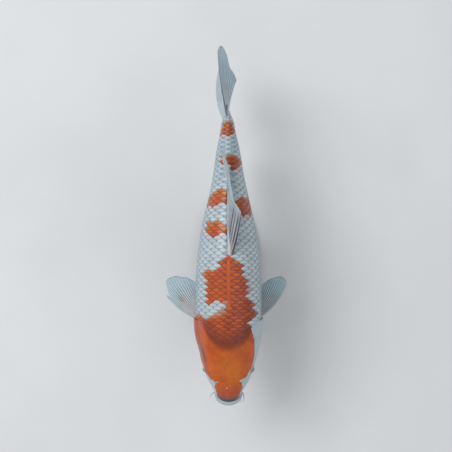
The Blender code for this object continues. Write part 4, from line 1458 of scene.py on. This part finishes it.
def make_eye_rim(name, side, finish):
    """A thin soft ring of skin where the eyeball comes out of the head."""
    select_nothing()
    bpy.ops.mesh.primitive_torus_add(
        major_segments=88, minor_segments=16, major_radius=EYE_OPENING, minor_radius=EYE_RIM
    )
    mesh = bpy.context.active_object.data
    back, up, out = points_of(mesh).T
    level = math.sqrt(EYE_RADIUS**2 - EYE_OPENING**2) + 0.05
    move_points(mesh, eye_place(0.75 * out + level, back, up, side))
    closed_piece(name, slot="lip_skin", finish=finish)


def make_feeler(name, root, middle, tip, radius, finish):
    """A finely ringed feeler that tapers along a curve, rounded at its tip."""
    t = np.linspace(0, 1, FEELER_STEPS + 1)
    path = curve(*(np.array(p, float) for p in (root, middle, tip)), t[:, None])
    radii = radius * (1.15 - 0.85 * t**0.8) * (1 + 0.03 * np.sin(t * 60))
    radii *= np.sqrt(np.clip((1 - t) / 0.06, 0, 1)) * np.sqrt(np.clip(t / 0.02, 0, 1))
    mesh, along, around = grid(FEELER_STEPS, FEELER_AROUND)
    k = np.rint(along * FEELER_STEPS).astype(int)
    ahead = np.gradient(path, axis=0)
    ahead /= np.linalg.norm(ahead, axis=1, keepdims=True)
    across = np.cross(ahead, (0.1, 0.2, 1.0))
    across /= np.linalg.norm(across, axis=1, keepdims=True)
    turn = 2 * math.pi * around[:, None]
    spoke = across[k] * np.cos(turn) + np.cross(ahead, across)[k] * np.sin(turn)
    move_points(mesh, path[k] + spoke * radii[k][:, None])
    closed_piece(name + "_fine", name, slot="lip_skin", finish=finish)


def make_feelers():
    """Two longer feelers at the corners of the mouth and two short ones on the upper lip."""
    finish = feeler_finish()
    for name, root, middle, tip, radius in (
        ("barbel_corner_right", (-21.5, 20, -8.0), (-26.5, 16.5, -12), (-30.0, 9.5, -21), 1.25),
        ("barbel_corner_left", (21.0, 20, -8.0), (24.0, 13.0, -12), (22.5, 3.0, -20), 1.25),
        ("barbel_lip_right", (-15.5, 10, -3.5), (-19.0, 7.5, -4.5), (-20.5, 5.0, -11), 0.85),
        ("barbel_lip_left", (15.5, 10, -3.5), (18.8, 6.5, -4.5), (19.0, 3.0, -11), 0.85),
    ):
        make_feeler(name, root, middle, tip, radius, finish)


# ---------------------------------------------------------------- stand


BEVEL = 0.0025
CHAMFER = 0.0008  # at the foot of the base
SUNK = 0.001  # how far a rod goes on inside the base
COLLAR = 1.9  # a collar's radius, against its rod's
COLLAR_EDGE = ((0, -SUNK), (0, 0.003), (-0.0008, 0.0042), (-0.002, 0.0048))


def turned_piece(name, *replaced, at_y, profile, finish, stretch=1.0, segments=64):
    """A solid turned from (radius, height) points about an upright axis, then stretched to an oval."""
    select_nothing()
    bpy.ops.mesh.primitive_circle_add(vertices=segments, radius=profile[0][0], fill_type="NGON")
    bpy.ops.object.mode_set(mode="EDIT")
    bpy.ops.mesh.select_all(action="SELECT")
    bpy.ops.transform.translate(value=(0, 0, profile[0][1]))
    for (radius, height), (next_radius, next_height) in zip(profile, profile[1:]):
        bpy.ops.mesh.extrude_region_move(TRANSFORM_OT_translate={"value": (0, 0, next_height - height)})
        factor = next_radius / radius
        bpy.ops.transform.resize(value=(factor, factor, 1), center_override=(0, 0, next_height))
    bpy.ops.mesh.select_all(action="SELECT")
    bpy.ops.transform.resize(value=(1, stretch, 1), center_override=(0, 0, 0))
    bpy.ops.transform.translate(value=(0, at_y, 0))
    bpy.ops.mesh.normals_make_consistent(inside=False)
    bpy.ops.object.mode_set(mode="OBJECT")
    bpy.ops.object.shade_smooth_by_angle(angle=math.radians(30))
    new_piece(name, *replaced, slot="stand_metal", finish=finish)


def make_stand():
    """An oval base with a rounded edge, and two rods that rise from small collars."""
    finish = metal_finish()
    low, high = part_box("stand_base")
    top = high.z
    half, half_length = (high.x - low.x) / 2, (high.y - low.y) / 2
    arc = [math.radians(a) for a in range(0, 91, 15)]
    edge = [(half - BEVEL + BEVEL * math.cos(a), top - BEVEL + BEVEL * math.sin(a)) for a in arc]
    base = {"profile": [(half - CHAMFER, 0.0), (half, CHAMFER), *edge], "stretch": half_length / half}
    centre = (low.y + high.y) / 2
    turned_piece("stand_base_oval", "stand_base", at_y=centre, finish=finish, segments=160, **base)
    for name in ("stand_rod_front", "stand_rod_rear"):
        low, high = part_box(name)
        radius = (high.x - low.x) / 2
        own = {"at_y": (low.y + high.y) / 2, "finish": finish}
        rod = [(radius, top - SUNK), (radius, high.z)]
        collar = [(COLLAR * radius + out, top + up) for out, up in COLLAR_EDGE]
        turned_piece(name + "_turned", name, profile=rod, **own)
        turned_piece(name + "_collar", profile=collar, **own)


# ---------------------------------------------------------------- room, lights and camera


FLOOR_WIDTH = 8
SKY = (0.95, 0.975, 1.0)
SKY_STRENGTH = 0.50
LAMPS = (  # name, place, width and power
    ("key", (-1.5, 0.9, 2.45), 1.6, 46),
    ("fill", (1.6, -0.9, 2.0), 2.2, 9),
)
LIT_PLACE = Vector((0, 0.05, 0.15))
LENS, SENSOR = 100.0, 36.0
VIEW_WIDTH = 0.701  # what the camera takes in, at the height of the fish's axis
VIEW_CENTRE = (-0.004, 0.079)


def make_floor_and_lights():
    """A wide pale floor, soft light all round, and two lamps above and to the sides."""
    select_nothing()
    bpy.ops.mesh.primitive_plane_add(size=FLOOR_WIDTH)
    floor = bpy.context.active_object
    floor.name = "floor"
    floor.data.materials.append(floor_finish())
    world = bpy.data.worlds.new("studio")
    world.use_nodes = True
    background = world.node_tree.nodes["Background"]
    background.inputs["Color"].default_value = (*SKY, 1)
    background.inputs["Strength"].default_value = SKY_STRENGTH
    bpy.context.scene.world = world
    for name, spot, width, power in LAMPS:
        light = bpy.data.lights.new(name, "AREA")
        light.size = width
        light.energy = power
        lamp = bpy.data.objects.new(name, light)
        lamp.location = spot
        lamp.rotation_euler = (LIT_PLACE - Vector(spot)).to_track_quat("-Z", "Y").to_euler()
        bpy.context.scene.collection.objects.link(lamp)


def make_camera():
    """A long lens, looking straight down on the fish."""
    data = bpy.data.cameras.new("camera")
    data.lens = LENS
    data.sensor_width = SENSOR
    camera = bpy.data.objects.new("camera", data)
    camera.location = (*VIEW_CENTRE, ORIGIN[2] + VIEW_WIDTH / SENSOR * LENS)
    bpy.context.scene.collection.objects.link(camera)
    bpy.context.scene.camera = camera
    bpy.context.scene.view_settings.view_transform = "Standard"


def main():
    make_floor_and_lights()
    make_camera()
    make_skin()
    make_coat()
    make_fins()
    rim = rim_finish()
    for name, side in (("left", 1), ("right", -1)):
        make_eye("eye_" + name, side)
        make_eye_rim("eye_rim_" + name, side, rim)
    make_feelers()
    make_stand()


main()
